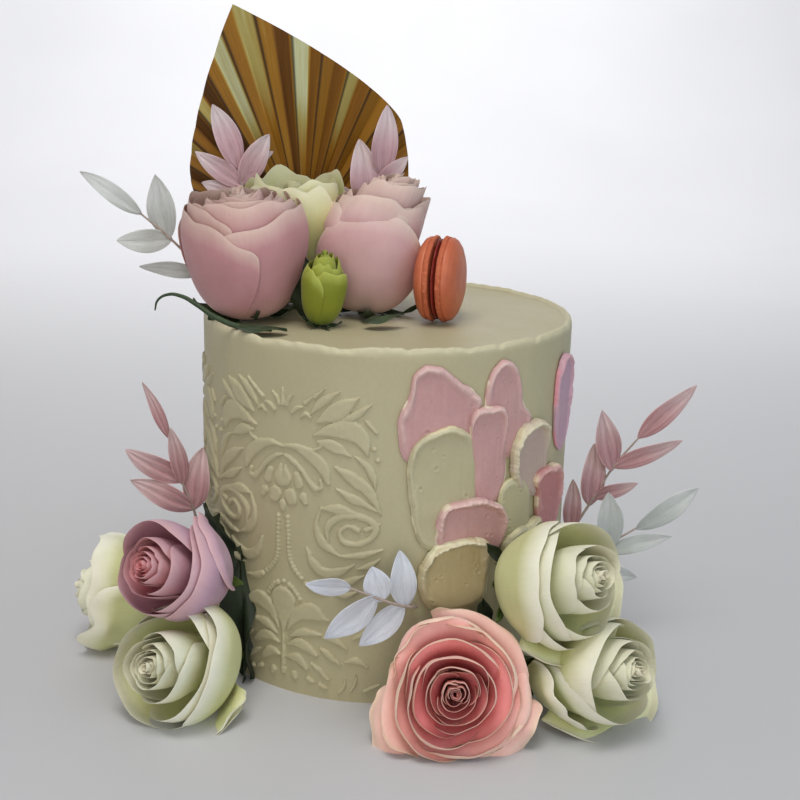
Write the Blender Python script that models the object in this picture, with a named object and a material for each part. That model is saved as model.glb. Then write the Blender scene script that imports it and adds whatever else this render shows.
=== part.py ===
"""A one-tier celebration cake dressed with roses, dried foliage, a palm spear and a macaron.

Units are metres, +Z is up, and the origin is the centre of the cake's base. The view that the
decoration faces looks along +Y, so the front of the cake is its -Y side and +X is to the right.
"""

import math

import bmesh
import bpy
from mathutils import Matrix, Vector, noise

MM = 0.001
GAP = 0.3 * MM
PETAL_GAP = 1.2 * MM
GOLDEN_TURN = math.radians(137.5)

# Driving sizes of the cake: an 8 inch round tier, finished
CAKE_RADIUS = 100 * MM
CAKE_HEIGHT = 188 * MM
CAKE_SIDES = 60
RIM_HEIGHT = 2.6 * MM
RIM_WIDTH = 4.0 * MM
FOOT_BEVEL = 1.0 * MM

# What stands on the top of the cake, stands on this level
TOP_REST = CAKE_HEIGHT + GAP
# What lies beside the cake stays over this level
FLOOR_REST = 0.0

COLOURS = {
    "buttercream": (0.66, 0.62, 0.45),
    "pink_buttercream": (0.62, 0.36, 0.36),
    "blush_petal": (0.66, 0.44, 0.43),
    "pink_petal": (0.74, 0.37, 0.38),
    "green_white_petal": (0.66, 0.70, 0.46),
    "bud_green": (0.46, 0.56, 0.16),
    "dark_green": (0.03, 0.06, 0.02),
    "dried_palm": (0.34, 0.17, 0.03),
    "pink_foliage": (0.52, 0.32, 0.35),
    "white_foliage": (0.62, 0.63, 0.62),
    "coral_shell": (0.60, 0.18, 0.10),
    "red_filling": (0.28, 0.05, 0.04),
}
ROUGHNESS = 0.6


def clear_scene():
    """Remove whatever the open file holds."""
    for item in list(bpy.data.objects):
        bpy.data.objects.remove(item)


def material(name):
    """The named Principled material, made on first use."""
    found = bpy.data.materials.get(name)
    if found:
        return found
    made = bpy.data.materials.new(name)
    made.use_nodes = True
    shader = made.node_tree.nodes["Principled BSDF"]
    shader.inputs["Base Color"].default_value = (*COLOURS[name], 1.0)
    shader.inputs["Roughness"].default_value = ROUGHNESS
    shader.inputs["Metallic"].default_value = 0.0
    return made


def add_object(name, points, faces, finish, place=None):
    """A mesh object with outward faces, at the matrix place."""
    mesh = bpy.data.meshes.new(name)
    mesh.from_pydata([tuple(p) for p in points], [], faces)
    work = bmesh.new()
    work.from_mesh(mesh)
    bmesh.ops.recalc_face_normals(work, faces=work.faces)
    bmesh.ops.triangulate(work, faces=work.faces)
    work.to_mesh(mesh)
    work.free()
    mesh.materials.append(material(finish))
    made = bpy.data.objects.new(name, mesh)
    bpy.context.scene.collection.objects.link(made)
    if place is not None:
        made.matrix_world = place
    return made


def ringed_solid(name, rows, finish, place=None):
    """A closed skin through rows, each a ring of points or, at an end, a single point."""
    points = []
    starts = []
    for row in rows:
        starts.append(len(points))
        points.extend(row)
    faces = []
    for upper in range(len(rows) - 1):
        a, b = starts[upper], starts[upper + 1]
        count_a, count_b = len(rows[upper]), len(rows[upper + 1])
        sides = max(count_a, count_b)
        for i in range(sides):
            j = (i + 1) % sides
            if count_a == 1:
                faces.append((a, b + i, b + j))
            elif count_b == 1:
                faces.append((a + i, b, a + j))
            else:
                faces.append((a + i, b + i, b + j, a + j))
    return add_object(name, points, faces, finish, place)


def take_mesh(item, mesh):
    """Give item a new mesh and drop its modifiers."""
    item.modifiers.clear()
    old = item.data
    item.data = mesh
    bpy.data.meshes.remove(old)


def keep_largest(item):
    """Drop loose scraps, so that the solid is one body."""
    work = bmesh.new()
    work.from_mesh(item.data)
    unseen = set(work.verts)
    bodies = []
    while unseen:
        body = []
        edge_of_search = [unseen.pop()]
        while edge_of_search:
            vert = edge_of_search.pop()
            body.append(vert)
            for edge in vert.link_edges:
                other = edge.other_vert(vert)
                if other in unseen:
                    unseen.remove(other)
                    edge_of_search.append(other)
        bodies.append(body)
    bodies.sort(key=len, reverse=True)
    scraps = [vert for body in bodies[1:] for vert in body]
    bmesh.ops.delete(work, geom=scraps, context="VERTS")
    work.to_mesh(item.data)
    work.free()


def boolean(item, others, operation, solver="EXACT"):
    """Join others to item, or cut them from it, and remove them."""
    tools = bpy.data.collections.new("tools")
    for other in others:
        tools.objects.link(other)
    step = item.modifiers.new("step", "BOOLEAN")
    step.operation = operation
    step.operand_type = "COLLECTION"
    step.collection = tools
    step.solver = solver
    bpy.context.view_layer.update()
    shaped = item.evaluated_get(bpy.context.evaluated_depsgraph_get())
    take_mesh(item, bpy.data.meshes.new_from_object(shaped))
    for other in others:
        bpy.data.objects.remove(other)
    bpy.data.collections.remove(tools)
    keep_largest(item)
    return item


def grown_copy(item, by):
    """A copy of item whose skin stands out by a gap, to cut its neighbours with."""
    copy = item.copy()
    copy.data = item.data.copy()
    bpy.context.scene.collection.objects.link(copy)
    normals = [vert.normal.copy() for vert in copy.data.vertices]
    for vert, normal in zip(copy.data.vertices, normals):
        vert.co += normal * by
    return copy


def swollen_copy(item, by):
    """A copy of a rounded item that is larger all round its middle, by a length at its mean radius."""
    copy = item.copy()
    copy.data = item.data.copy()
    bpy.context.scene.collection.objects.link(copy)
    points = [vert.co.copy() for vert in copy.data.vertices]
    middle = sum(points, Vector()) / len(points)
    mean_radius = sum((point - middle).length for point in points) / len(points)
    factor = 1 + by / mean_radius
    for vert, point in zip(copy.data.vertices, points):
        vert.co = middle + (point - middle) * factor
    return copy


def aim(base, axis, roll=0.0):
    """A frame at base whose +Z points along axis."""
    turn = Vector(axis).to_track_quat("Z", "Y").to_matrix().to_4x4()
    return Matrix.Translation(Vector(base)) @ turn @ Matrix.Rotation(roll, 4, "Z")


def on_wall(angle, height, out=0.0):
    """The point of the cake's wall at an angle and a height, moved out by a distance."""
    radius = CAKE_RADIUS + out
    return Vector((radius * math.cos(angle), radius * math.sin(angle), height))


def cake_cutter(out=GAP):
    """A stand-in for the cake that is larger by out, facet over facet."""
    radius = CAKE_RADIUS + out
    levels = (-20 * MM, CAKE_HEIGHT + out)
    turns = [math.tau * i / CAKE_SIDES for i in range(CAKE_SIDES)]
    rows = [[(radius * math.cos(turn), radius * math.sin(turn), level) for turn in turns] for level in levels]
    rows = [[(0, 0, levels[0])], *rows, [(0, 0, levels[1])]]
    return ringed_solid("cake_cutter", rows, "buttercream")


def floor_cutter():
    """All that is below the level on which the cake stands."""
    reach, depth = 400 * MM, 60 * MM
    corners = [(-reach, -reach), (reach, -reach), (reach, reach), (-reach, reach)]
    rows = [[(x, y, level) for x, y in corners] for level in (-depth, FLOOR_REST)]
    return ringed_solid("floor_cutter", [[(0, 0, -depth)], *rows, [(0, 0, FLOOR_REST)]], "buttercream")


def build_cake():
    """The tier: a smoothed wall, a proud uneven lip of buttercream round the top, a level top."""
    rows = [[Vector((0, 0, 0))]]
    profile = [
        (CAKE_RADIUS - FOOT_BEVEL, 0.0, 0.0),
        (CAKE_RADIUS, FOOT_BEVEL, 0.0),
        (CAKE_RADIUS, CAKE_HEIGHT * 0.5, 0.0),
        (CAKE_RADIUS, CAKE_HEIGHT - 2 * MM, 0.0),
        (CAKE_RADIUS - 0.4 * MM, CAKE_HEIGHT + 0.6 * RIM_HEIGHT, 1.0),
        (CAKE_RADIUS - 0.45 * RIM_WIDTH, CAKE_HEIGHT + RIM_HEIGHT, 1.0),
        (CAKE_RADIUS - 0.85 * RIM_WIDTH, CAKE_HEIGHT + 0.4 * RIM_HEIGHT, 0.6),
        (CAKE_RADIUS - 1.3 * RIM_WIDTH, CAKE_HEIGHT, 0.0),
    ]
    for radius, height, unevenness in profile:
        ring = []
        for i in range(CAKE_SIDES):
            turn = math.tau * i / CAKE_SIDES
            way = Vector((math.cos(turn), math.sin(turn), 0))
            swell = noise.noise(way * 4.0) * unevenness
            ring.append(way * (radius - 0.3 * MM * unevenness) + Vector((0, 0, height + swell * MM)))
        rows.append(ring)
    rows.append([Vector((0, 0, CAKE_HEIGHT))])
    return ringed_solid("cake_body", rows, "buttercream")


# Palette-knife strokes on the right of the front, the topmost laid first.
# name, angle of the middle in degrees, height of the middle, width, length, lean in degrees,
# thickness of the swept face, height of the lip at its upper end
STROKES = [
    ("stroke_pink_left", -77, 158, 38, 44, 14, 1.6, 4.0),
    ("stroke_pink_middle", -55, 152, 18, 60, 0, 1.6, 3.6),
    ("stroke_pink_right", -24, 148, 19, 56, -2, 2.4, 4.5),
    ("stroke_pink_centre", -63, 134, 22, 50, 2, 2.4, 5.0),
    ("stroke_cream_left", -76, 118, 34, 60, 6, 2.4, 5.5),
    ("stroke_cream_right", -46, 128, 24, 42, -18, 3.0, 6.5),
    ("stroke_cream_small", -51, 98, 18, 36, -8, 3.0, 5.0),
    ("stroke_pink_edge", -35, 98, 18, 44, -10, 3.4, 6.0),
    ("stroke_pink_low", -67, 99, 36, 28, -4, 3.6, 7.0),
    ("stroke_cream_edge", -45, 82, 20, 26, -30, 4.2, 7.0),
    ("stroke_cream_low", -70, 74, 36, 34, -14, 4.4, 8.0),
]
STROKE_SIDES = 14


def stroke_solid(name, angle, height, width, length, lean, face, lip, grow=0.0):
    """A dab of buttercream swept down by a palette knife: a smooth face inside a raised lip."""
    lean = math.radians(lean)
    # ring: share of the outline, share of the lip's height, share of the face's thickness
    rings = [(0.0, 0.0, 1.0), (0.55, 0.0, 1.0), (0.80, 0.12, 1.0), (0.92, 1.0, 1.0), (1.0, 0.35, 0.6)]
    root = -3.0 * MM

    def place(share, turn, out):
        """The point on the wall at a share of the egg-shaped outline."""
        blunt = 0.80
        across = math.copysign(abs(math.cos(turn)) ** blunt, math.cos(turn))
        along = math.copysign(abs(math.sin(turn)) ** blunt, math.sin(turn))
        taper = 1.0 - 0.12 * math.sin(turn)
        x = share * (width / 2 * MM + grow) * across * taper
        z = share * (length / 2 * MM + grow) * along
        around = x * math.cos(lean) + z * math.sin(lean)
        up = -x * math.sin(lean) + z * math.cos(lean)
        return on_wall(math.radians(angle) + around / CAKE_RADIUS, height * MM + up, out)

    rows = []
    for share, lip_share, face_share in rings:
        row = []
        for i in range(STROKE_SIDES if share else 1):
            turn = math.tau * i / STROKE_SIDES
            upper = 0.5 + 0.5 * math.sin(turn)
            rise = 0.12 + 0.88 * upper ** 1.3
            sweep = 0.55 + 0.45 * math.sin(turn) * share
            out = face * face_share * sweep + (lip - face) * lip_share * rise
            row.append(place(share, turn, out * MM + grow))
        rows.append(row)
    rows.append([place(1.0, math.tau * i / STROKE_SIDES, root) for i in range(STROKE_SIDES)])
    rows.append([place(0.0, 0.0, root)])
    return ringed_solid(name, rows, "pink_buttercream" if "pink" in name else "buttercream")


def build_strokes():
    """Each dab is cut back from those laid over it, and from the wall behind it."""
    made = {}
    for index, stroke in enumerate(STROKES):
        dab = stroke_solid(*stroke)
        over = [stroke_solid(*later, grow=GAP) for later in STROKES[index + 1:]]
        for cutter in [*over, cake_cutter()]:
            boolean(dab, [cutter], "DIFFERENCE")
        made[stroke[0]] = dab
    return made


# A rose's skin from its heart to its foot, as (share of radius, share of length, role).
# A rim is the edge of a ring of petals, a fold lies between two rings, a body is plain.
OPEN_ROSE = [
    (0.00, 0.84, "fold"),
    (0.09, 0.90, "rim"),
    (0.17, 0.80, "fold"),
    (0.27, 0.93, "rim"),
    (0.36, 0.79, "fold"),
    (0.48, 0.95, "rim"),
    (0.58, 0.77, "fold"),
    (0.72, 0.92, "rim"),
    (0.80, 0.74, "fold"),
    (1.00, 0.80, "rim"),
    (0.88, 0.60, "body"),
    (0.94, 0.50, "rim"),
    (0.74, 0.32, "body"),
    (0.44, 0.14, "body"),
    (0.12, 0.03, "body"),
    (0.08, 0.00, "body"),
    (0.00, 0.00, "body"),
]
HALF_OPEN_ROSE = [
    (0.00, 0.90, "fold"),
    (0.10, 0.98, "rim"),
    (0.18, 0.88, "fold"),
    (0.30, 1.00, "rim"),
    (0.40, 0.86, "fold"),
    (0.56, 0.96, "rim"),
    (0.66, 0.80, "fold"),
    (0.92, 0.84, "rim"),
    (0.90, 0.62, "body"),
    (1.00, 0.56, "rim"),
    (0.86, 0.36, "body"),
    (0.52, 0.14, "body"),
    (0.14, 0.03, "body"),
    (0.08, 0.00, "body"),
    (0.00, 0.00, "body"),
]
CLOSED_ROSE = [
    (0.00, 0.90, "fold"),
    (0.16, 0.99, "rim"),
    (0.28, 0.90, "fold"),
    (0.48, 1.00, "rim"),
    (0.58, 0.88, "fold"),
    (0.82, 0.90, "rim"),
    (0.80, 0.76, "body"),
    (0.94, 0.60, "body"),
    (1.00, 0.42, "body"),
    (0.86, 0.22, "body"),
    (0.46, 0.07, "body"),
    (0.16, 0.02, "body"),
    (0.12, 0.00, "body"),
    (0.00, 0.00, "body"),
]
BUD = [
    (0.00, 0.98, "fold"),
    (0.34, 1.00, "rim"),
    (0.52, 0.90, "body"),
    (0.86, 0.66, "body"),
    (1.00, 0.42, "body"),
    (0.78, 0.20, "body"),
    (0.30, 0.06, "body"),
    (0.18, 0.00, "body"),
    (0.00, 0.00, "body"),
]

FLARED_ROSE = [
    (0.00, 0.88, "fold"),
    (0.14, 0.97, "rim"),
    (0.26, 0.88, "fold"),
    (0.48, 1.00, "rim"),
    (0.60, 0.88, "fold"),
    (1.02, 0.92, "rim"),
    (0.80, 0.80, "body"),
    (0.86, 0.64, "body"),
    (0.98, 0.44, "body"),
    (0.88, 0.22, "body"),
    (0.46, 0.07, "body"),
    (0.16, 0.02, "body"),
    (0.12, 0.00, "body"),
    (0.00, 0.00, "body"),
]

# name, profile, finish, foot of the flower (mm), the way its heart faces, radius, length, sides
ROSES = [
    ("rose_top_left", CLOSED_ROSE, "blush_petal", (-74, -23, 188.6), (-0.05, -0.04, 1.0), 29, 80, 20),
    ("rose_top_right", FLARED_ROSE, "blush_petal", (-13.5, -5, 188.8), (0.10, 0.03, 1.0), 26.5, 79, 20),
    ("rose_top_back", HALF_OPEN_ROSE, "green_white_petal", (-55, 19, 188.5), (0.00, -0.06, 1.0), 23, 75, 18),
    ("bud_top", BUD, "bud_green", (-36, -41, 188.6), (0.06, -0.08, 1.0), 11, 39, 14),
    ("rose_left_pink", HALF_OPEN_ROSE, "pink_petal", (-77, -75, 78), (-0.84, -0.54, 0.06), 23.5, 64, 20),
    ("rose_left_white", HALF_OPEN_ROSE, "green_white_petal", (-79, -85, 31), (-0.70, -0.70, 0.02), 31, 60, 20),
    ("rose_left_back", HALF_OPEN_ROSE, "green_white_petal", (-115, -22, 26), (-0.94, -0.25, 0.22), 27, 58, 18),
    ("rose_front_pink", OPEN_ROSE, "pink_petal", (32, -123, 19.5), (-0.06, -0.82, 0.55), 36.5, 46, 24),
    ("rose_right_upper", HALF_OPEN_ROSE, "green_white_petal", (52, -97, 62), (0.74, -0.62, 0.27), 34, 67, 20),
    ("rose_right_lower", HALF_OPEN_ROSE, "green_white_petal", (68, -103, 25.5), (0.81, -0.57, 0.07), 29, 68, 20),
]
# Roses beside the cake hang on a stalk that reaches its wall
STALK_RADIUS = 2.6 * MM
STALK_SIDES = 6


def stalk_to_wall(foot, heart_way):
    """A short green stalk from inside a rose's foot to the wall beside it."""
    start = Vector(foot) + Vector(heart_way).normalized() * 6 * MM
    angle = math.atan2(foot[1], foot[0])
    end = on_wall(angle, max(foot[2] - 4 * MM, 10 * MM), -4 * MM)
    return tube("stalk", [start, Vector(foot), end], [STALK_RADIUS] * 3, STALK_SIDES, "dark_green")


def tube(name, path, radii, sides, finish):
    """A round bar through the points of path, its rings square to it."""
    rows = [[path[0]]]
    for index, point in enumerate(path):
        before = path[max(index - 1, 0)]
        after = path[min(index + 1, len(path) - 1)]
        frame = (after - before).to_track_quat("Z", "X").to_matrix()
        ring = []
        for i in range(sides):
            turn = math.tau * i / sides
            spoke = Vector((math.cos(turn), math.sin(turn), 0)) * radii[index]
            ring.append(point + frame @ spoke)
        rows.append(ring)
    rows.append([path[-1]])
    return ringed_solid(name, rows, finish)


def rose_solid(name, profile, finish, foot, heart_way, radius, length, sides):
    """Rings of petals round a heart, each ring turned against the one inside it."""
    rows = []
    rim_number = 0
    for share_out, share_up, role in profile:
        if share_out == 0:
            rows.append([Vector((0, 0, share_up * length * MM))])
            continue
        petals = 3 if share_out < 0.5 else 5
        depth = {"rim": 1.0, "fold": -0.5, "body": 0.25}[role]
        ring = []
        for i in range(sides):
            turn = math.tau * i / sides
            petal = abs(math.cos(petals / 2 * (turn - rim_number * GOLDEN_TURN)))
            swell = 1 + 0.10 * depth * (petal - 0.6) * min(share_out * 2, 1)
            lift = 0.06 * depth * (petal - 0.6) * min(share_out * 2, 1)
            out = share_out * radius * MM * swell
            up = (share_up + (lift if role != "body" else 0)) * length * MM
            ring.append(Vector((out * math.cos(turn), out * math.sin(turn), up)))
        rows.append(ring)
        if role == "rim":
            rim_number += 1
    foot = Vector(foot) * MM
    return ringed_solid(name, rows, finish, aim(foot, heart_way))


def build_roses(strokes):
    """The flowers, those beside the cake on stalks, each kept clear of what it leans on."""
    made = {}
    for name, profile, finish, foot, heart_way, radius, length, sides in ROSES:
        rose = rose_solid(name, profile, finish, foot, heart_way, radius, length, sides)
        on_top = foot[2] * MM >= CAKE_HEIGHT
        if not on_top:
            boolean(rose, [stalk_to_wall(Vector(foot) * MM, heart_way)], "UNION")
            boolean(rose, [cake_cutter()], "DIFFERENCE")
            boolean(rose, [floor_cutter()], "DIFFERENCE")
        for other in made.values():
            if boxes_meet(rose, other):
                boolean(rose, [swollen_copy(other, PETAL_GAP)], "DIFFERENCE")
                boolean(rose, [grown_copy(other, GAP)], "DIFFERENCE")
        for dab in strokes.values():
            if boxes_meet(rose, dab):
                boolean(rose, [grown_copy(dab, 2 * GAP)], "DIFFERENCE")
        made[name] = rose
    return made


def box_of(item):
    """The lowest and highest corner of an object in the world."""
    points = [item.matrix_world @ vert.co for vert in item.data.vertices]
    low = Vector([min(p[axis] for p in points) for axis in range(3)])
    high = Vector([max(p[axis] for p in points) for axis in range(3)])
    return low, high


def boxes_meet(one, other):
    """True where the boxes of two objects overlap, with a gap to spare."""
    low_a, high_a = box_of(one)
    low_b, high_b = box_of(other)
    return all(
        low_a[axis] - GAP < high_b[axis] and low_b[axis] - GAP < high_a[axis]
        for axis in range(3)
    )


# The macaron stands on its edge beside the roses
MACARON_CENTRE = Vector((28.5 * MM, -24 * MM, 0))
MACARON_RADIUS = 22.5 * MM
MACARON_SHELL = 8.6 * MM
MACARON_FILLING = 4.6 * MM
MACARON_FOOT = 2.6 * MM
MACARON_TURN = math.radians(-8)
MACARON_SIDES = 24


def macaron_piece(name, profile, ruffle, finish, place):
    """A turned piece whose foot rows are ruffled, from (radius, height, is foot) rows."""
    rows = []
    for radius, height, is_foot in profile:
        if radius == 0:
            rows.append([Vector((0, 0, height))])
            continue
        ring = []
        for i in range(MACARON_SIDES):
            turn = math.tau * i / MACARON_SIDES
            rough = noise.noise(Vector((math.cos(turn), math.sin(turn), height * 300)) * 5)
            out = radius + (ruffle * rough if is_foot else 0)
            ring.append(Vector((out * math.cos(turn), out * math.sin(turn), height)))
        rows.append(ring)
    return ringed_solid(name, rows, finish, place)


def build_macaron():
    """Two domed shells on ruffled feet, with the filling between them, standing on edge."""
    centre = MACARON_CENTRE + Vector((0, 0, TOP_REST + MACARON_RADIUS + 0.4 * MM))
    axis = Vector((math.cos(MACARON_TURN), math.sin(MACARON_TURN), 0))
    half = MACARON_FILLING / 2
    shell = [
        (0, MACARON_SHELL, False),
        (MACARON_RADIUS * 0.55, MACARON_SHELL * 0.94, False),
        (MACARON_RADIUS * 0.82, MACARON_SHELL * 0.76, False),
        (MACARON_RADIUS * 0.96, MACARON_SHELL * 0.48, False),
        (MACARON_RADIUS * 0.985, MACARON_FOOT, False),
        (MACARON_RADIUS * 0.985, MACARON_FOOT * 0.5, True),
        (MACARON_RADIUS * 0.965, 0, True),
        (0, 0, False),
    ]
    filling = [
        (0, half, False),
        (MACARON_RADIUS * 0.88, half, True),
        (MACARON_RADIUS * 0.93, 0, True),
        (MACARON_RADIUS * 0.88, -half, True),
        (0, -half, False),
    ]
    step = axis * (half + GAP)
    ruffle = 0.5 * MM
    macaron_piece("macaron_shell_left", shell, ruffle, "coral_shell", aim(centre - step, -axis))
    macaron_piece("macaron_shell_right", shell, ruffle, "coral_shell", aim(centre + step, axis))
    macaron_piece("macaron_filling", filling, ruffle, "red_filling", aim(centre, axis))


# The palm spear: a pleated leaf whose pleats run out from the head of its stalk
SPEAR_HUB = Vector((-48 * MM, 48 * MM, 221 * MM))
SPEAR_LENGTH = 134 * MM
SPEAR_LEAN = math.radians(-17)
SPEAR_PLEATS = 32
SPEAR_PLEAT_DEPTH = 2.2 * MM
SPEAR_THICKNESS = 0.9 * MM
SPEAR_SPREAD = math.radians(118)
SPEAR_HALF_WIDTH = (52 * MM, 72 * MM)
SPEAR_STALK = 2.2 * MM
SPEAR_STEPS = 3


def spear_reach(way):
    """How far the leaf reaches from its hub at an angle from its own middle line."""
    side = SPEAR_HALF_WIDTH[0] if way < 0 else SPEAR_HALF_WIDTH[1]
    low, high = 0.0, SPEAR_LENGTH
    for _ in range(30):
        reach = (low + high) / 2
        along = reach * math.cos(way)
        across = reach * abs(math.sin(way))
        share = min(max(along / SPEAR_LENGTH, -0.3), 1.0)
        if share > 0.36:
            limit = side * (1 - ((share - 0.36) / 0.64) ** 1.35)
        else:
            limit = side * math.sqrt(max(1 - ((0.36 - share) / 0.66) ** 2, 0.0))
        if across < limit and share < 1:
            low = reach
        else:
            high = reach
    return (low + high) / 2


def build_palm_spear():
    """Pleats fold to and fro between rays from the hub, and the rim is cut to a point."""
    front = []
    for ray in range(SPEAR_PLEATS + 1):
        way = (ray / SPEAR_PLEATS * 2 - 1) * SPEAR_SPREAD
        fold = SPEAR_PLEAT_DEPTH * (1 if ray % 2 else -1)
        reach = spear_reach(way)
        line = []
        for step in range(SPEAR_STEPS + 1):
            share = 0.04 + 0.96 * step / SPEAR_STEPS
            out = reach * share
            turn = way + SPEAR_LEAN
            line.append(
                SPEAR_HUB
                + Vector((out * math.sin(turn), fold * min(share * 1.5, 1), out * math.cos(turn)))
            )
        front.append(line)
    rays, steps = SPEAR_PLEATS + 1, SPEAR_STEPS + 1
    back_shift = Vector((0, SPEAR_THICKNESS, 0))
    points = [p for line in front for p in line]
    points += [p + back_shift for line in front for p in line]
    offset = rays * steps
    faces = []
    for ray in range(rays - 1):
        for step in range(steps - 1):
            a = ray * steps + step
            b, c, d = a + 1, a + steps + 1, a + steps
            faces += [(a, b, c), (a, c, d)]
            faces += [(offset + c, offset + b, offset + a), (offset + d, offset + c, offset + a)]
    outline = [ray * steps + steps - 1 for ray in range(rays)]
    outline += [(rays - 1) * steps + step for step in range(steps - 2, -1, -1)]
    outline += [ray * steps for ray in range(rays - 2, -1, -1)]
    outline += list(range(1, steps - 1))
    for here, there in zip(outline, outline[1:] + outline[:1]):
        faces.append((here, there, offset + there, offset + here))
    spear = add_object("palm_spear", points, faces, "dried_palm")
    middle = SPEAR_HUB + Vector((0, SPEAR_THICKNESS / 2, 0))
    foot = Vector((middle.x + 4 * MM, middle.y, TOP_REST))
    head = middle + Vector((math.sin(SPEAR_LEAN), 0, math.cos(SPEAR_LEAN))) * 14 * MM
    stalk = tube("stalk", [foot, middle, head], [SPEAR_STALK] * 2 + [1.4 * MM], 8, "dried_palm")
    boolean(spear, [stalk], "UNION")


# Sprigs of dried foliage. Each stem is given by points (x, y, z) in mm from its foot to its end.
# Each leaf is (share of the way up the stem, angle in the sprig's upright plane, length, width,
# how far its tip comes forward), in degrees and mm.
SPRIGS = {
    "sprig_top_white": (
        "white_foliage",
        [(-91, 8, 185), (-98, -1, 203), (-108, -11, 220), (-118, -15, 231), (-131, -15, 242)],
        [
            (1.00, 146, 38, 8, 0),
            (0.74, 100, 34, 14, 4),
            (0.72, -178, 29, 12, 6),
            (0.36, 172, 34, 8, 2),
        ],
    ),
    "sprig_top_pink_left": (
        "pink_foliage",
        [(-79, 33, 185), (-80, 32, 215), (-79, 32, 240), (-84, 33, 262)],
        [
            (1.00, 110, 38, 14, 2),
            (0.88, 59, 33, 12, 2),
            (0.86, 142, 33, 10, 3),
            (0.76, 160, 27, 10, 3),
            (0.95, 35, 24, 7, -1),
        ],
    ),
    "sprig_top_pink_right": (
        "pink_foliage",
        [(-8, 33, 185), (-14, 31, 215), (-12, 29, 240), (-4, 29, 260)],
        [
            (1.00, 88, 39, 14, 2),
            (0.70, 99, 40, 16, -6),
            (0.90, 42, 25, 9, -1),
            (0.56, 124, 26, 9, 3),
        ],
    ),
    "sprig_left_pink": (
        "pink_foliage",
        [(-89, -36, 50), (-100, -40, 70), (-103, -42, 88), (-109, -42, 104), (-115, -42, 128)],
        [
            (1.00, 113, 34, 6, 0),
            (0.66, 97, 34, 9, 5),
            (0.68, 147, 35, 11, 4),
            (0.46, 153, 38, 11, 5),
            (0.46, 80, 35, 13, -3),
        ],
    ),
    "sprig_front_white": (
        "white_foliage",
        [(11, -95, 57), (13, -110, 63), (4, -119, 68), (-8, -123, 74), (-20, -126, 80)],
        [
            (1.00, 172, 22, 8, 2),
            (0.72, -140, 33, 13, 5),
            (0.42, -136, 30, 11, 6),
            (0.66, 106, 18, 13, -3),
            (0.38, 98, 29, 12, -4),
        ],
    ),
    "sprig_right_pink": (
        "pink_foliage",
        [(95, -12, 46), (107, -12, 68), (116, -11, 83), (128, -10, 104), (141, -10, 121)],
        [
            (1.00, 47, 44, 10, 0),
            (0.72, 26, 42, 9, 3),
            (0.70, 103, 38, 13, 4),
            (0.46, 24, 27, 7, 4),
            (0.40, 88, 36, 14, -4),
            (0.16, 91, 31, 9, -5),
        ],
    ),
    "sprig_right_white": (
        "white_foliage",
        [(94, -24, 37), (108, -25, 44), (118, -25, 53), (127, -25, 64), (140, -25, 73)],
        [
            (1.00, 35, 42, 13, 0),
            (0.64, 93, 36, 14, 4),
            (0.60, 12, 40, 8, -3),
            (0.30, -10, 34, 10, -5),
        ],
    ),
}
STEM_SIDES = 5
STEM_FOOT_RADIUS = 1.1 * MM
STEM_END_RADIUS = 0.6 * MM
LEAF_THICKNESS = 0.9 * MM
LEAF_STATIONS = (0.22, 0.5, 0.78)


def along_path(path, share):
    """The point at a share of a path's length."""
    spans = [(b - a).length for a, b in zip(path, path[1:])]
    left = share * sum(spans)
    for start, end, span in zip(path, path[1:], spans):
        if left <= span:
            return start.lerp(end, left / span)
        left -= span
    return path[-1].copy()


def leaf_solid(root, way, length, width, forward):
    """A thin lens of a leaf, hollowed along its midrib and arched along its length."""
    heading = Vector((math.cos(way), -forward / length, math.sin(way))).normalized()
    side = heading.cross(Vector((0, 1, 0))).normalized()
    face = side.cross(heading).normalized()
    start = root - heading * 1.2 * MM
    rows = [[start]]
    for share in LEAF_STATIONS:
        half = 0.57 * width * math.sin(math.pi * share ** 0.9) ** 0.8
        arch = face * (0.06 * length * math.sin(math.pi * share))
        centre = start + heading * length * share + arch
        fold = face * (0.10 * width)
        thick = face * (LEAF_THICKNESS / 2)
        rows.append([centre - side * half, centre - fold + thick, centre + side * half, centre - fold - thick])
    rows.append([start + heading * length])
    return ringed_solid("leaf", rows, "pink_foliage")


def build_sprigs():
    """Stems with their leaves fused on."""
    made = {}
    for name, (finish, stem_points, leaves) in SPRIGS.items():
        path = [Vector(p) * MM for p in stem_points]
        steps = len(path) - 1
        radii = [
            STEM_FOOT_RADIUS + (STEM_END_RADIUS - STEM_FOOT_RADIUS) * i / steps
            for i in range(steps + 1)
        ]
        sprig = tube(name, path, radii, STEM_SIDES, finish)
        blades = [
            leaf_solid(along_path(path, share), math.radians(way), length * MM, width * MM, forward * MM)
            for share, way, length, width, forward in leaves
        ]
        boolean(sprig, blades, "UNION", "MANIFOLD")
        boolean(sprig, [cake_cutter()], "DIFFERENCE")
        made[name] = sprig
    return made


# The long curled sepal at the left of the top and the dark leaves that lie on the cake's top
CURL_PATH = [
    (-60, -58, 190.2), (-75, -60, 191.5), (-88, -60, 196.5), (-97, -58, 202), (-105, -56, 206),
    (-112, -55, 206.5), (-117, -55, 203.5), (-118.5, -55, 198.5),
]
CURL_RADII = [1.3, 1.5, 1.4, 1.2, 1.0, 0.8, 0.6, 0.4]
TOP_LEAVES = [
    ("leaf_top_left", (-52, -62, 190.2), -170, 26, 12, 2),
    ("leaf_top_right", (-14, -48, 190.6), 12, 22, 8, 3),
]


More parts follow.
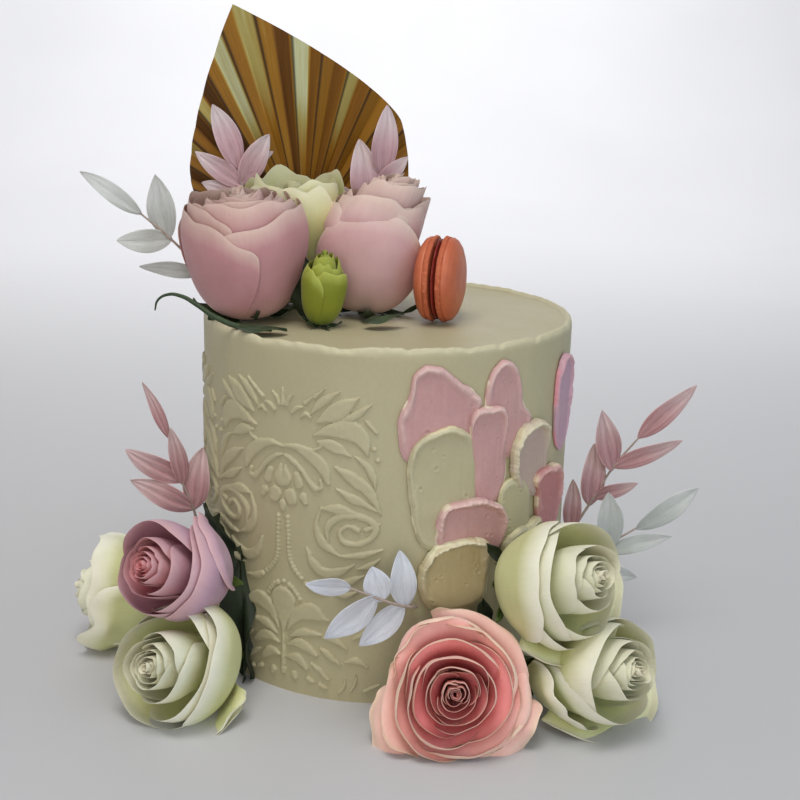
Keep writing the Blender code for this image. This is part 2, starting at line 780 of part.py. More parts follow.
def build_dark_leaves():
    """Sepals and leaves that lie on the top of the cake."""
    path = [Vector(p) * MM for p in CURL_PATH]
    tube("sepal_curled", path, [r * MM for r in CURL_RADII], STEM_SIDES, "dark_green")
    for name, root, way, length, width, lift in TOP_LEAVES:
        heading = math.radians(way)
        end = Vector((math.cos(heading), math.sin(heading), lift / length))
        side = Vector((-math.sin(heading), math.cos(heading), 0))
        start = Vector(root) * MM
        rows = [[start]]
        for share in LEAF_STATIONS:
            half = width / 2 * MM * math.sin(math.pi * share)
            centre = start + end * length * MM * share
            thick = Vector((0, 0, LEAF_THICKNESS / 2))
            curl = Vector((0, 0, 0.12 * width * MM))
            rows.append([centre - side * half + curl, centre + thick, centre + side * half + curl, centre - thick])
        rows.append([start + end * length * MM])
        ringed_solid(name, rows, "dark_green")


def main():
    clear_scene()
    build_cake()
    strokes = build_strokes()
    build_roses(strokes)
    build_macaron()
    build_palm_spear()
    build_sprigs()
    build_dark_leaves()


main()
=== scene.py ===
"""The looks of the decorated cake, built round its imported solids.

Lengths are in millimetres while a piece is shaped, and become metres when its mesh is written.
"""

import math

import bpy
import numpy as np
from mathutils import Matrix, Vector


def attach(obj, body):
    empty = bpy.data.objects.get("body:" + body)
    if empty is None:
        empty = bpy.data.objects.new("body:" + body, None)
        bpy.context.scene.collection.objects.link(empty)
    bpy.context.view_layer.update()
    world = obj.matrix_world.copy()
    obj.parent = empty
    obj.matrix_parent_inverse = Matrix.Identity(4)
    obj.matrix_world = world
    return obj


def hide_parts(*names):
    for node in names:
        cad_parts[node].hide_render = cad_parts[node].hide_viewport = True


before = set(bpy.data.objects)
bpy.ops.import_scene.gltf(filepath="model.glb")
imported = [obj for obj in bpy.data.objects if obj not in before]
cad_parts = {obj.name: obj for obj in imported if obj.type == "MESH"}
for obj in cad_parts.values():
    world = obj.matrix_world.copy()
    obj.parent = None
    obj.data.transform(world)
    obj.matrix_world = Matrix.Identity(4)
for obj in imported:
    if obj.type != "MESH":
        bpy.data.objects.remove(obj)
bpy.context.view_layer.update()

MM = 0.001
BODY = "root"
CAKE_RADIUS = 100.0
CAKE_HEIGHT = 188.0
TOP = CAKE_HEIGHT + 0.3

# The photograph's camera: place, tilt down, turn to the right and roll in degrees, lens in mm
CAMERA_PLACE = (-20.1, -695.7, 327.6)
CAMERA_DOWN, CAMERA_RIGHT, CAMERA_ROLL = 15.21, 2.27, 1.23
CAMERA_LENS = 58.2
SENSOR = 36.0


# Selecting and finishing meshes


def only(*items):
    """Make these objects the selection, the first of them active."""
    if bpy.context.object and bpy.context.object.mode != "OBJECT":
        bpy.ops.object.mode_set(mode="OBJECT")
    bpy.ops.object.select_all(action="DESELECT")
    for item in items:
        item.select_set(True)
    bpy.context.view_layer.objects.active = items[0]


def finish_mesh(item, closed=True, angle=60):
    """Merge the seams of a wrapped grid, turn its faces outwards and smooth it."""
    only(item)
    bpy.ops.object.mode_set(mode="EDIT")
    bpy.ops.mesh.select_all(action="SELECT")
    if closed:
        bpy.ops.mesh.remove_doubles(threshold=0.00001)
        bpy.ops.mesh.normals_make_consistent(inside=False)
    bpy.ops.object.mode_set(mode="OBJECT")
    bpy.ops.object.shade_smooth_by_angle(angle=math.radians(angle))


def apply_modifier(item, name, kind, **settings):
    """Add one modifier with its settings and apply it."""
    only(item)
    made = item.modifiers.new(name, kind)
    for key, value in settings.items():
        setattr(made, key, value)
    bpy.ops.object.modifier_apply(modifier=made.name)


def thicken(item, thickness, levels=1):
    """Turn a sheet into a thin solid with rounded edges."""
    apply_modifier(item, "thickness", "SOLIDIFY", thickness=thickness * MM, offset=0.0)
    if levels:
        apply_modifier(item, "rounding", "SUBSURF", levels=levels, render_levels=levels)


def joined(name, items):
    """One piece out of several."""
    only(*items)
    if len(items) > 1:
        bpy.ops.object.join()
    item = bpy.context.object
    item.name = name
    item.data.name = name
    return item


def draw(name, columns, rows, place, closed=False, angle=60):
    """A grid whose points go where place(u, v) says, with u and v from 0 to 1.

    place returns the points in millimetres and a dict of attribute values."""
    bpy.ops.object.select_all(action="DESELECT")
    bpy.ops.mesh.primitive_grid_add(x_subdivisions=columns, y_subdivisions=rows, size=2.0)
    item = bpy.context.object
    item.name = name
    mesh = item.data
    flat = np.zeros(len(mesh.vertices) * 3)
    mesh.vertices.foreach_get("co", flat)
    flat = flat.reshape(-1, 3)
    points, marks = place((flat[:, 0] + 1) / 2, (flat[:, 1] + 1) / 2)
    mesh.vertices.foreach_set("co", (np.asarray(points) * MM).astype(np.float32).ravel())
    for key, values in marks.items():
        mark = mesh.attributes.new(key, "FLOAT", "POINT")
        mark.data.foreach_set("value", np.broadcast_to(values, len(flat)).astype(np.float32))
    mesh.update()
    if closed:
        finish_mesh(item, True, angle)
    return item


def settle(item, slot, paint, *nodes):
    """Give a finished piece its paint and its place in the frame, and hide the solids that it stands for."""
    item.data.materials.clear()
    item.data.materials.append(paint)
    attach(item, BODY)
    if nodes:
        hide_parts(*nodes)
    return item


# Shaping by numbers

LATTICE_SIZE = 24
LATTICE = np.random.default_rng(7).random((LATTICE_SIZE, LATTICE_SIZE, LATTICE_SIZE)) * 2 - 1


def ripple(points, size, shift=0.0):
    """Smooth noise from -1 to 1 at points in millimetres, its lumps about size across."""
    grid = np.asarray(points, float) / size + shift
    cell = np.floor(grid).astype(int)
    part = grid - cell
    part = part * part * (3 - 2 * part)
    total = 0.0
    for corner in np.ndindex(2, 2, 2):
        weight = 1.0
        for axis in range(3):
            weight = weight * (part[:, axis] if corner[axis] else 1 - part[:, axis])
        index = [(cell[:, axis] + corner[axis]) % LATTICE_SIZE for axis in range(3)]
        total = total + weight * LATTICE[index[0], index[1], index[2]]
    return total


def ease(values, low, high):
    """From 0 at low to 1 at high, with soft ends."""
    share = np.clip((np.asarray(values, float) - low) / (high - low), 0, 1)
    return share * share * (3 - 2 * share)


def rows_of(*columns):
    """Points from their x, y and z values."""
    return np.stack(np.broadcast_arrays(*columns), -1).astype(float)


def on_wall(degrees, height, out=0.0):
    """Points on the cake's wall at an angle and a height, moved out by a distance."""
    turn = np.radians(degrees)
    radius = CAKE_RADIUS + out
    return rows_of(radius * np.cos(turn), radius * np.sin(turn), height)


def frame_of(way, roll=0.0):
    """Three unit vectors as rows, the last along way and the first level, turned by roll about way."""
    way = np.array(way, float)
    way /= np.linalg.norm(way)
    level = np.cross((0, 0, 1), way) if abs(way[2]) < 0.9 else np.array((1.0, 0, 0)) - way * way[0]
    level /= np.linalg.norm(level)
    rise = np.cross(way, level)
    cos, sin = math.cos(roll), math.sin(roll)
    return np.array([level * cos + rise * sin, rise * cos - level * sin, way])


# Paints: node trees from one method, with maths written as expressions


class Wire:
    """A node's output, which adds Math nodes when it is used in an expression."""

    def __init__(self, paint, socket):
        self.paint = paint
        self.socket = socket

    def maths(self, operation, first, second):
        return self.paint.node("ShaderNodeMath", {0: first, 1: second}, operation=operation)

    def __add__(self, other):
        return self.maths("ADD", self, other)

    def __radd__(self, other):
        return self.maths("ADD", other, self)

    def __sub__(self, other):
        return self.maths("SUBTRACT", self, other)

    def __rsub__(self, other):
        return self.maths("SUBTRACT", other, self)

    def __mul__(self, other):
        return self.maths("MULTIPLY", self, other)

    def __rmul__(self, other):
        return self.maths("MULTIPLY", other, self)


class Paint:
    """One material and the nodes in it."""

    def __init__(self, name, roughness=0.6, **constants):
        self.material = bpy.data.materials.new(name)
        self.material.use_nodes = True
        self.tree = self.material.node_tree
        self.shader = self.tree.nodes["Principled BSDF"]
        self.shader.inputs["Roughness"].default_value = roughness
        for key, value in constants.items():
            self.shader.inputs[key.replace("_", " ")].default_value = value
        self.where = self.node("ShaderNodeTexCoord", out="Object")

    def node(self, kind, values=None, out=0, stops=None, **settings):
        """A node of a kind, its settings first, then the values or links of its sockets."""
        made = self.tree.nodes.new(kind)
        for key, value in settings.items():
            setattr(made, key, value)
        if stops:
            ramp = made.color_ramp
            while len(ramp.elements) < len(stops):
                ramp.elements.new(0.5)
            for element, (place, colour) in zip(ramp.elements, stops):
                element.position = place
                element.color = (*colour, 1.0)
        for key, value in (values or {}).items():
            self.feed(made.inputs[key], value)
        return Wire(self, made.outputs[out])

    def feed(self, socket, value):
        """Link a wire to a socket, or set the socket's own value."""
        if isinstance(value, Wire):
            self.tree.links.new(value.socket, socket)
        elif socket.type == "RGBA" and len(value) == 3:
            socket.default_value = (*value, 1.0)
        else:
            socket.default_value = value

    def noise(self, scale, detail=3.0, rough=0.5, where=None):
        """Noise from 0 to 1; scale is in lumps per metre."""
        values = {"Vector": where or self.where, "Scale": scale, "Detail": detail, "Roughness": rough}
        return self.node("ShaderNodeTexNoise", values, out=0)

    def mark(self, name):
        """The value of an attribute that the piece carries."""
        return self.node("ShaderNodeAttribute", out="Fac", attribute_name=name)

    def spread(self, value, low, high):
        """The value stretched so that low becomes 0 and high becomes 1."""
        return self.node("ShaderNodeMapRange", {0: value, 1: low, 2: high}, clamp=True)

    def mix(self, factor, first, second, blend="MIX"):
        """A colour between two colours."""
        values = {0: factor, 6: first, 7: second}
        return self.node("ShaderNodeMix", values, out=2, data_type="RGBA", blend_type=blend)

    def bump(self, height, distance, strength=1.0, over=None):
        """A normal raised by height times a distance in metres."""
        values = {"Height": height, "Distance": distance, "Strength": strength}
        if over:
            values["Normal"] = over
        return self.node("ShaderNodeBump", values)

    def finish(self, colour=None, roughness=None, normal=None):
        """Join what varies to the shader."""
        for key, value in (("Base Color", colour), ("Roughness", roughness), ("Normal", normal)):
            if value is not None:
                self.feed(self.shader.inputs[key], value)
        return self.material


def paint_buttercream(name, base, pale, deep, edge):
    """Buttercream: a soft sheen, faint mottling, fine grain, and paler on lips, ridges and the raised
    pattern, partly the thin pushed-up buttercream and partly painted highlight.
    """
    paint = Paint(name, Subsurface_Weight=0.08, Subsurface_Radius=(0.004, 0.003, 0.002), Subsurface_Scale=1.0)
    broad = paint.spread(paint.noise(14, 3), 0.3, 0.7)
    fine = paint.noise(420, 4, 0.6)
    colour = paint.mix(broad, deep, base)
    # Paler on lips, ridges and the raised pattern: partly thin buttercream, partly painted highlight.
    colour = paint.mix(paint.spread(paint.mark("lip"), 0.0, 1.0), colour, pale)
    colour = paint.mix(paint.spread(paint.mark("edge"), 0.25, 0.9), colour, edge)
    colour = paint.mix(paint.spread(fine, 0.35, 0.75) * 0.14, colour, pale)
    rough = 0.40 + paint.noise(60, 2) * 0.22
    stretch = paint.node("ShaderNodeMapping", {"Vector": paint.where, "Scale": (1.0, 1.0, 0.12)})
    scrape = paint.bump(paint.noise(260, 2, 0.5, stretch), 0.00022, 0.5)
    grain = paint.bump(fine, 0.00010, 1.0, scrape)
    pores = paint.bump(paint.noise(1500, 2), 0.00004, 1.0, grain)
    return paint.finish(colour, rough, pores)


def paint_petal(name, foot, skin, lip, inside, deep, heart, outer, edge):
    """Petal: green at its foot, skin over its length, another tint on its lip, and deeper down inside, partly
    the petal's own tint and partly painted shade in the cup.
    """
    paint = Paint(name, 0.55, Sheen_Weight=0.1, Subsurface_Weight=0.1,
                  Subsurface_Radius=(0.003, 0.0018, 0.0012), Subsurface_Scale=1.0)
    along, across, inner = paint.mark("along"), paint.mark("across"), paint.mark("inner")
    fibre = paint.node("ShaderNodeCombineXYZ", {0: across * 9.0, 1: along * 1.3, 2: inner * 7.0})
    streak = paint.noise(3.0, 4, 0.6, fibre)
    blotch = paint.spread(paint.noise(55, 3), 0.3, 0.72)
    colour = paint.mix(paint.spread(inner, 0.3, 0.0), skin, outer)
    colour = paint.mix(paint.spread(along + streak * 0.22, 0.22, 0.6), foot, colour)
    # Down inside the cup the colour deepens: partly the petal's own stronger tint, partly painted shade.
    within = paint.mix(paint.spread(along + streak * 0.12, 0.34, 0.8), deep, inside)
    within = paint.mix(paint.spread(inner, 0.3, 0.02) * 0.85, within, outer)
    colour = paint.mix(paint.mark("inside"), colour, within)
    colour = paint.mix(paint.spread(inner, 0.55, 0.95) * paint.spread(along, 0.6, 0.9), colour, heart)
    rim = paint.spread(along + streak * 0.05, edge, edge + 0.2)
    colour = paint.mix(rim * (1.0 - inner * 0.6), colour, lip)
    shade = paint.node("ShaderNodeCombineColor", {0: 0.88 + blotch * 0.12, 1: 0.86 + blotch * 0.14,
                                                  2: 0.84 + blotch * 0.16})
    colour = paint.mix(1.0, colour, shade, "MULTIPLY")
    veins = paint.bump(streak, 0.0004, 0.5)
    fine = paint.bump(paint.noise(900, 3), 0.00006, 0.8, veins)
    return paint.finish(colour, 0.5 + streak * 0.18, fine)


def paint_foliage(name, base, vein, tip, contrast):
    """Painted dry leaf: lines run along it from stalk to tip, the paint paler towards the tip."""
    paint = Paint(name, 0.62)
    along, across = paint.mark("along"), paint.mark("across")
    fibre = paint.node("ShaderNodeCombineXYZ", {0: across * 14.0, 1: along * 0.8, 2: 0.0})
    line = paint.noise(2.4, 3, 0.55, fibre)
    veins = paint.node("ShaderNodeMath", {0: across * 9.0 + line * 5.0}, operation="SINE")
    colour = paint.mix(paint.spread(line, 0.36, 0.60), vein, base)
    colour = paint.mix(paint.spread(veins, 0.4, 0.98) * contrast, colour, vein)
    colour = paint.mix(paint.spread(paint.mark("tip"), 0.0, 1.0), colour, tip)
    colour = paint.mix(paint.spread(paint.noise(120, 3), 0.35, 0.8) * 0.25, colour, vein)
    ribs = paint.bump(line - veins * (contrast * 0.3), 0.0008, 0.7)
    fine = paint.bump(paint.noise(1100, 2), 0.00006, 0.8, ribs)
    return paint.finish(colour, 0.5 + line * 0.2, fine)


def paint_palm(name):
    """Dried palm: golden and brown pleats, pale streaks and dark lines that run out from the hub; the dark
    lines in the creases and the darker faces of the left pleats are painted shade, and the pale streaks are
    partly painted highlight.
    """
    paint = Paint(name, 0.5, Specular_IOR_Level=0.3)
    along, across, tone = paint.mark("along"), paint.mark("across"), paint.mark("tone")
    fibre = paint.node("ShaderNodeCombineXYZ", {0: across * 220.0, 1: along * 2.2, 2: 0.0})
    streak = paint.noise(1.0, 4, 0.6, fibre)
    broad = paint.node("ShaderNodeCombineXYZ", {0: across * 40.0, 1: along * 1.1, 2: 3.0})
    drift = paint.noise(1.0, 3, 0.5, broad)
    colour = paint.node(
        "ShaderNodeValToRGB",
        {0: tone * 0.66 + streak * 0.24 + drift * 0.10},
        stops=[
            (0.0, (0.022, 0.006, 0.001)),
            (0.26, (0.060, 0.020, 0.002)),
            (0.46, (0.17, 0.066, 0.002)),
            (0.62, (0.28, 0.125, 0.006)),
            (0.80, (0.38, 0.32, 0.10)),
            (1.0, (0.62, 0.68, 0.48)),
        ],
    )
    # Dark lines along the creases: painted shadow in the folds.
    painted_crease_shadow = paint.spread(paint.mark("painted_crease_shadow") + streak * 0.4, 0.55, 1.1)
    colour = paint.mix(painted_crease_shadow * 0.85, colour, (0.016, 0.006, 0.001))
    lines = paint.bump(streak, 0.0006, 0.7)
    return paint.finish(colour, 0.48 + streak * 0.25, lines)


def paint_macaron(name, base, deep, speck):
    """Baked shell: smooth and dry on the dome, rough and a little darker on the foot."""
    paint = Paint(name, 0.55)
    foot = paint.mark("foot")
    cloud = paint.spread(paint.noise(90, 4), 0.3, 0.7)
    colour = paint.mix(cloud, deep, base)
    colour = paint.mix(foot * 0.45, colour, deep)
    dots = paint.node("ShaderNodeTexVoronoi", {"Vector": paint.where, "Scale": 420.0})
    colour = paint.mix(paint.spread(dots, 0.16, 0.05) * 0.35, colour, speck)
    crumb = paint.bump(paint.noise(800, 5, 0.7), 0.00016, 0.35)
    foam = paint.bump(paint.noise(650, 3) * foot, 0.0008, 0.9, crumb)
    return paint.finish(colour, 0.45 + foot * 0.3, foam)


def paint_plain(name, base, dark, scale, roughness, depth):
    """A mottled skin for small things such as sepals, stalks and filling."""
    paint = Paint(name, roughness)
    patch = paint.spread(paint.noise(scale, 4), 0.3, 0.7)
    colour = paint.mix(patch, dark, base)
    grain = paint.bump(paint.noise(scale * 6, 3), depth, 0.8)
    return paint.finish(colour, roughness - 0.08 + patch * 0.16, grain)


def make_paints():
    """Every paint by its name here."""
    return {
        "cream": paint_buttercream("cream_buttercream", (0.45, 0.41, 0.265), (0.57, 0.53, 0.365),
                                   (0.42, 0.375, 0.23), (0.66, 0.60, 0.38)),
        "pink": paint_buttercream("pink_buttercream", (0.53, 0.30, 0.30), (0.68, 0.48, 0.45),
                                  (0.47, 0.25, 0.25), (0.72, 0.62, 0.48)),
        "rosy": paint_buttercream("rosy_buttercream", (0.52, 0.21, 0.20), (0.66, 0.40, 0.38),
                                  (0.46, 0.17, 0.17), (0.74, 0.60, 0.44)),
        "mixed": paint_buttercream("streaked_buttercream", (0.48, 0.38, 0.32), (0.64, 0.60, 0.43),
                                   (0.44, 0.31, 0.28), (0.62, 0.57, 0.38)),
        # A warmer, browner copy of the cream: painted shade for the face of the low cream stroke, which lies
        # under its lip
        "warm": paint_buttercream("warm_painted_shade_buttercream", (0.52, 0.42, 0.23), (0.68, 0.64, 0.47),
                                  (0.45, 0.35, 0.17), (0.70, 0.66, 0.46)),
        "lilac": paint_buttercream("lilac_buttercream", (0.52, 0.34, 0.43), (0.64, 0.36, 0.40),
                                   (0.46, 0.28, 0.36), (0.66, 0.28, 0.34)),
        "blush": paint_petal("blush_petal", (0.52, 0.38, 0.28), (0.62, 0.38, 0.38), (0.76, 0.61, 0.52),
                             (0.70, 0.53, 0.47), (0.60, 0.34, 0.31), (0.76, 0.58, 0.50), (0.62, 0.37, 0.38),
                             0.88),
        "deep_blush": paint_petal("deep_blush_petal", (0.50, 0.30, 0.24), (0.54, 0.27, 0.28),
                                  (0.74, 0.57, 0.49), (0.68, 0.48, 0.43), (0.56, 0.27, 0.26),
                                  (0.72, 0.54, 0.48), (0.54, 0.26, 0.28), 0.88),
        "rose": paint_petal("pink_petal", (0.52, 0.32, 0.36), (0.66, 0.32, 0.37), (0.76, 0.47, 0.50),
                            (0.90, 0.22, 0.25), (0.85, 0.04, 0.07), (0.90, 0.32, 0.34), (0.54, 0.33, 0.45),
                            0.86),
        "open": paint_petal("open_pink_petal", (0.60, 0.46, 0.28), (0.94, 0.50, 0.50), (0.90, 0.70, 0.53),
                            (0.98, 0.34, 0.36), (0.98, 0.12, 0.14), (0.98, 0.44, 0.44), (0.88, 0.56, 0.48),
                            0.84),
        "white": paint_petal("green_white_petal", (0.48, 0.50, 0.09), (0.76, 0.78, 0.50),
                             (0.90, 0.89, 0.73), (0.84, 0.83, 0.62), (0.64, 0.64, 0.30), (0.90, 0.85, 0.68),
                             (0.70, 0.72, 0.36), 0.78),
        "lime": paint_petal("lime_petal", (0.46, 0.50, 0.05), (0.76, 0.77, 0.34), (0.86, 0.84, 0.60),
                            (0.82, 0.82, 0.48), (0.54, 0.56, 0.10), (0.80, 0.78, 0.52), (0.74, 0.76, 0.36),
                            0.84),
        "bud": paint_petal("bud_petal", (0.12, 0.17, 0.01), (0.25, 0.29, 0.012), (0.42, 0.46, 0.08),
                           (0.22, 0.27, 0.012), (0.10, 0.14, 0.01), (0.25, 0.30, 0.02), (0.22, 0.25, 0.008),
                           0.85),
        "pink_leaf": paint_foliage("pink_foliage", (0.64, 0.39, 0.40), (0.38, 0.16, 0.18),
                                   (0.66, 0.48, 0.48), 0.55),
        "blush_leaf": paint_foliage("blush_foliage", (0.68, 0.47, 0.51), (0.50, 0.26, 0.30),
                                    (0.74, 0.62, 0.64), 0.35),
        "white_leaf": paint_foliage("white_foliage", (0.66, 0.68, 0.66), (0.46, 0.48, 0.46),
                                    (0.72, 0.73, 0.72), 0.2),
        "frost_leaf": paint_foliage("frost_foliage", (0.68, 0.70, 0.76), (0.52, 0.52, 0.58),
                                    (0.74, 0.77, 0.86), 0.2),
        "palm": paint_palm("dried_palm"),
        "shell": paint_macaron("coral_shell", (0.56, 0.15, 0.065), (0.46, 0.10, 0.04), (0.34, 0.07, 0.03)),
        "filling": paint_plain("red_filling", (0.30, 0.035, 0.025), (0.20, 0.02, 0.015), 160, 0.38, 0.0004),
        "sepal": paint_plain("dark_green_leaf", (0.030, 0.060, 0.016), (0.012, 0.028, 0.010), 180, 0.5,
                             0.0003),
        # Near-black leaf paint: painted shadow, for the dark leaves that stand in for shade beside the
        # flowers
        "shade": paint_plain("painted_shadow_leaf", (0.016, 0.030, 0.009), (0.006, 0.010, 0.004), 150, 0.6, 0.0003),
        "stalk": paint_plain("green_stalk", (0.10, 0.15, 0.03), (0.05, 0.09, 0.02), 160, 0.5, 0.0003),
        "twig": paint_plain("dry_twig", (0.44, 0.36, 0.32), (0.30, 0.22, 0.18), 300, 0.6, 0.0002),
        "floor": paint_plain("pale_floor", (0.55, 0.55, 0.57), (0.53, 0.53, 0.55), 3, 0.6, 0.00001),
    }


PAINTS = make_paints()


# The cake: a wall with raised damask, a smoothed top, an uneven lip of buttercream

# Where the seam of the cake's skin lies, in degrees
SEAM = -215.0
# How far the pattern stands out of the wall, and how far its skirts go into it
RELIEF = 1.35
SKIRT = 0.55
PATTERN_FOOT, PATTERN_HEAD = 7.0, 171.0
# name, the panel's middle line in degrees, where it starts and ends in mm from that line, its grid in mm
PATTERN_PIECES = [
    ("pattern_front", -122.0, -52.0, 52.8, 0.46),
    ("pattern_left", -182.0, -52.0, 52.0, 0.8),
    ("pattern_back_left", -242.0, -52.0, 52.0, 0.8),
    ("pattern_back_right", -302.0, -52.0, 52.0, 0.8),
]
# Nicks in the lip: angle in degrees, width and depth in mm
RIM_CHIPS = [(-68.0, 4.0, 1.6), (-43.0, 3.0, 1.8), (-104.0, 9.0, 0.9), (-130.0, 5.0, 1.1), (-20.0, 7.0, 0.8),
             (-58.0, 2.4, 1.3), (-63.0, 7.0, 0.9), (-86.0, 2.2, 0.8)]
ARC = math.pi * CAKE_RADIUS / 180


# One half of a panel of the pattern, as (distance from the middle line, height) of the points that a
# dab runs through, and the dab's half-widths along it
DABS = [
    ([(0, 159), (0, 167.4)], (1.4, 0.5)),
    ([(2.1, 158.6), (3.6, 162.1), (6.4, 165)], (1.3, 1.2, 0.3)),
    ([(5.1, 155.3), (8, 157.9), (11.5, 158.7)], (1.1, 1.3, 0.3)),
    ([(10.1, 153.6), (12.9, 155.7), (15.6, 154.1)], (0.6, 1.4, 0.8)),
    ([(18.6, 152), (29.4, 158.7), (39.8, 166)], (0.6, 4.6, 0.4)),
    ([(15.6, 156), (21.6, 162.5), (30.6, 168.6)], (0.5, 2.4, 0.4)),
    ([(12.6, 161), (17, 164.6)], (1.3, 0.5)),
    ([(17.6, 164.5), (23, 169.5)], (1.2, 0.4)),
    ([(31, 154), (38, 157), (46, 163)], (0.4, 2.2, 0.4)),
    ([(17, 145.2), (26.2, 148.6), (35.2, 149.4), (41.4, 145.2), (44.6, 137)], (0.5, 3.4, 5.4, 4.2, 0.5)),
    ([(19.4, 142.6), (27.6, 140.8), (36.4, 136.2)], (0.8, 3.3, 0.4)),
    ([(42.5, 155), (45, 152.7), (48.4, 149)], (0.4, 1.3, 1.1)),
    ([(16.4, 137.4), (20.4, 139.2), (21.4, 142.2)], (0.7, 1.0, 1.3)),
    ([(0, 137.6), (7.2, 138), (15.4, 135), (22, 129.4), (25.1, 121.6)], (0.7, 1.9, 3.3, 3.4, 1.2)),
    ([(0.8, 133), (4.4, 131.6), (10.1, 127.4), (14.3, 122.2), (18.3, 118)], (0.8, 1.5, 1.5, 1.5, 1.9)),
    ([(18.5, 117.8), (21.4, 119), (20.9, 122.3)], (1.6, 1.2, 1.3)),
    ([(1.4, 127.2), (2.2, 121), (0, 117.5)], (1.0, 3.0, 1.6)),
    ([(8, 123.6), (9.4, 119)], (2.2, 2.6)),
    ([(4.3, 112.6), (5.2, 110.4)], (3.7, 3.3)),
    ([(11.6, 112.6), (12.8, 110)], (2.4, 1.6)),
    ([(0, 107.4), (0, 104.6)], (2.4, 1.6)),
    ([(28, 130.4), (37.3, 125), (45.5, 118.4), (51.4, 106.8)], (0.6, 3.2, 2.9, 0.5)),
    ([(29, 119.6), (37.4, 114.6), (43.8, 111.9), (50.4, 108)], (0.5, 2.6, 1.8, 0.4)),
    ([(37.6, 136.4), (43.5, 132.4), (47.2, 126.3), (48.4, 120)], (0.4, 1.9, 2.0, 0.4)),
    ([(21, 108.2), (30.4, 108.6), (39.8, 107.6)], (0.4, 2.9, 0.4)),
    ([(21.4, 109), (18.9, 98.7), (22.4, 90), (30.8, 84.4)], (0.5, 1.7, 2.6, 0.6)),
    ([(25, 90.6), (24.8, 99), (31.6, 105), (41.9, 105.4), (48.9, 100.6), (46.3, 94.4), (39.2, 90.9),
      (32.6, 92.1), (31.2, 97.2), (35.6, 100.6), (40, 98.4)],
     (0.6, 2.0, 2.1, 2.0, 2.0, 1.8, 1.7, 1.6, 1.4, 1.2, 1.7)),
    ([(13.4, 87), (17.2, 78.6), (23.4, 74.4), (31.4, 75.8), (38.2, 80.2)], (0.4, 2.4, 2.9, 2.2, 0.6)),
    ([(31, 84.2), (39.7, 84.9), (46, 86.6), (52.8, 89)], (0.6, 2.0, 1.7, 0.5)),
    ([(40, 78), (46, 80), (51, 84)], (0.5, 1.8, 0.5)),
    ([(27, 69.4), (35, 70.6), (43.5, 75)], (0.5, 2.2, 0.5)),
    ([(44, 99), (51, 102.4)], (1.6, 0.5)),
    ([(13.4, 66.8), (18.4, 64.3), (25, 63.4)], (1.5, 1.8, 0.5)),
    ([(28, 64), (34.4, 63.4), (40.6, 66.4)], (0.5, 1.9, 0.5)),
    ([(0, 37), (0, 46.5), (0, 55.4)], (0.7, 3.6, 7.6)),
    ([(2.4, 39.4), (8.4, 49), (16.6, 52), (25.6, 48.6)], (0.5, 3.6, 4.6, 0.7)),
    ([(3.6, 36.2), (11.6, 40), (21.8, 40.2)], (0.5, 2.5, 0.8)),
    ([(2.4, 31.4), (10.2, 33.6), (18.9, 28.8)], (0.6, 3.1, 1.6)),
    ([(1.6, 24.6), (8.2, 25.2), (13.6, 20.4)], (0.6, 2.9, 1.6)),
    ([(0, 36), (0, 20)], (0.9, 1.6)),
    ([(0, 17.4), (0, 15.6)], (2.1, 1.8)),
    ([(6.2, 15.4), (7.2, 13.6)], (2.1, 1.6)),
    ([(14.6, 15), (17.4, 13.4)], (1.6, 1.2)),
    ([(21, 12.6), (24.4, 11.2)], (1.5, 1.1)),
    ([(16, 24), (20.3, 20.8), (25.6, 16.2)], (0.6, 1.7, 0.9)),
    ([(20.9, 32.6), (25.7, 30), (31.6, 25)], (0.5, 2.2, 0.8)),
    ([(22, 39), (28.6, 38.6), (35.6, 34)], (0.4, 2.3, 0.6)),
    ([(31.3, 9.6), (33.9, 13.1), (34.6, 18)], (1.2, 1.1, 0.4)),
    ([(37.4, 11.4), (39.8, 16), (40, 21)], (1.0, 1.0, 0.4)),
    ([(44.5, 11.6), (48, 13.4), (52, 15.6)], (1.0, 1.1, 0.5)),
    ([(34, 27), (40, 28), (46, 25)], (0.5, 2.0, 0.6)),
    ([(38, 40), (45, 44), (50, 51)], (0.5, 2.3, 0.6)),
    ([(32, 50), (38, 56), (46, 58)], (0.5, 2.3, 0.7)),
]
BEADS = [(2.7, 100.6), (2.9, 96), (3.1, 91.4), (3.1, 87), (3.2, 82.6), (4, 78.4), (5.9, 74.6), (8.6, 71),
         (3.4, 64.4), (6.9, 61.6), (9.6, 57.8), (11.4, 53.4), (0, 65.4), (0, 28), (2.8, 98.3), (3.0, 93.7),
         (3.1, 89.2), (3.15, 84.8), (3.6, 80.5), (4.9, 76.5), (7.2, 72.8), (10.6, 69.2), (5.4, 63.2),
         (8.4, 59.8), (47.6, 140.6), (49.4, 135)]
BEAD_RADIUS = 1.45


def curve_through(spots, steps):
    """Points of a smooth curve through spots."""
    spots = np.asarray(spots, float)
    if len(spots) == 2:
        return spots[0] + (spots[1] - spots[0]) * np.linspace(0, 1, 3)[:, None]
    ends = np.vstack([2 * spots[0] - spots[1], spots, 2 * spots[-1] - spots[-2]])
    path = []
    for before, start, end, after in zip(ends, ends[1:], ends[2:], ends[3:]):
        part = np.linspace(0, 1, steps, endpoint=False)[:, None]
        straight = (end - before) * part
        bend = (2 * before - 5 * start + 4 * end - after) * part ** 2
        twist = (3 * start - before - 3 * end + after) * part ** 3
        path.append(0.5 * (2 * start + straight + bend + twist))
    return np.vstack([*path, spots[-1:]])


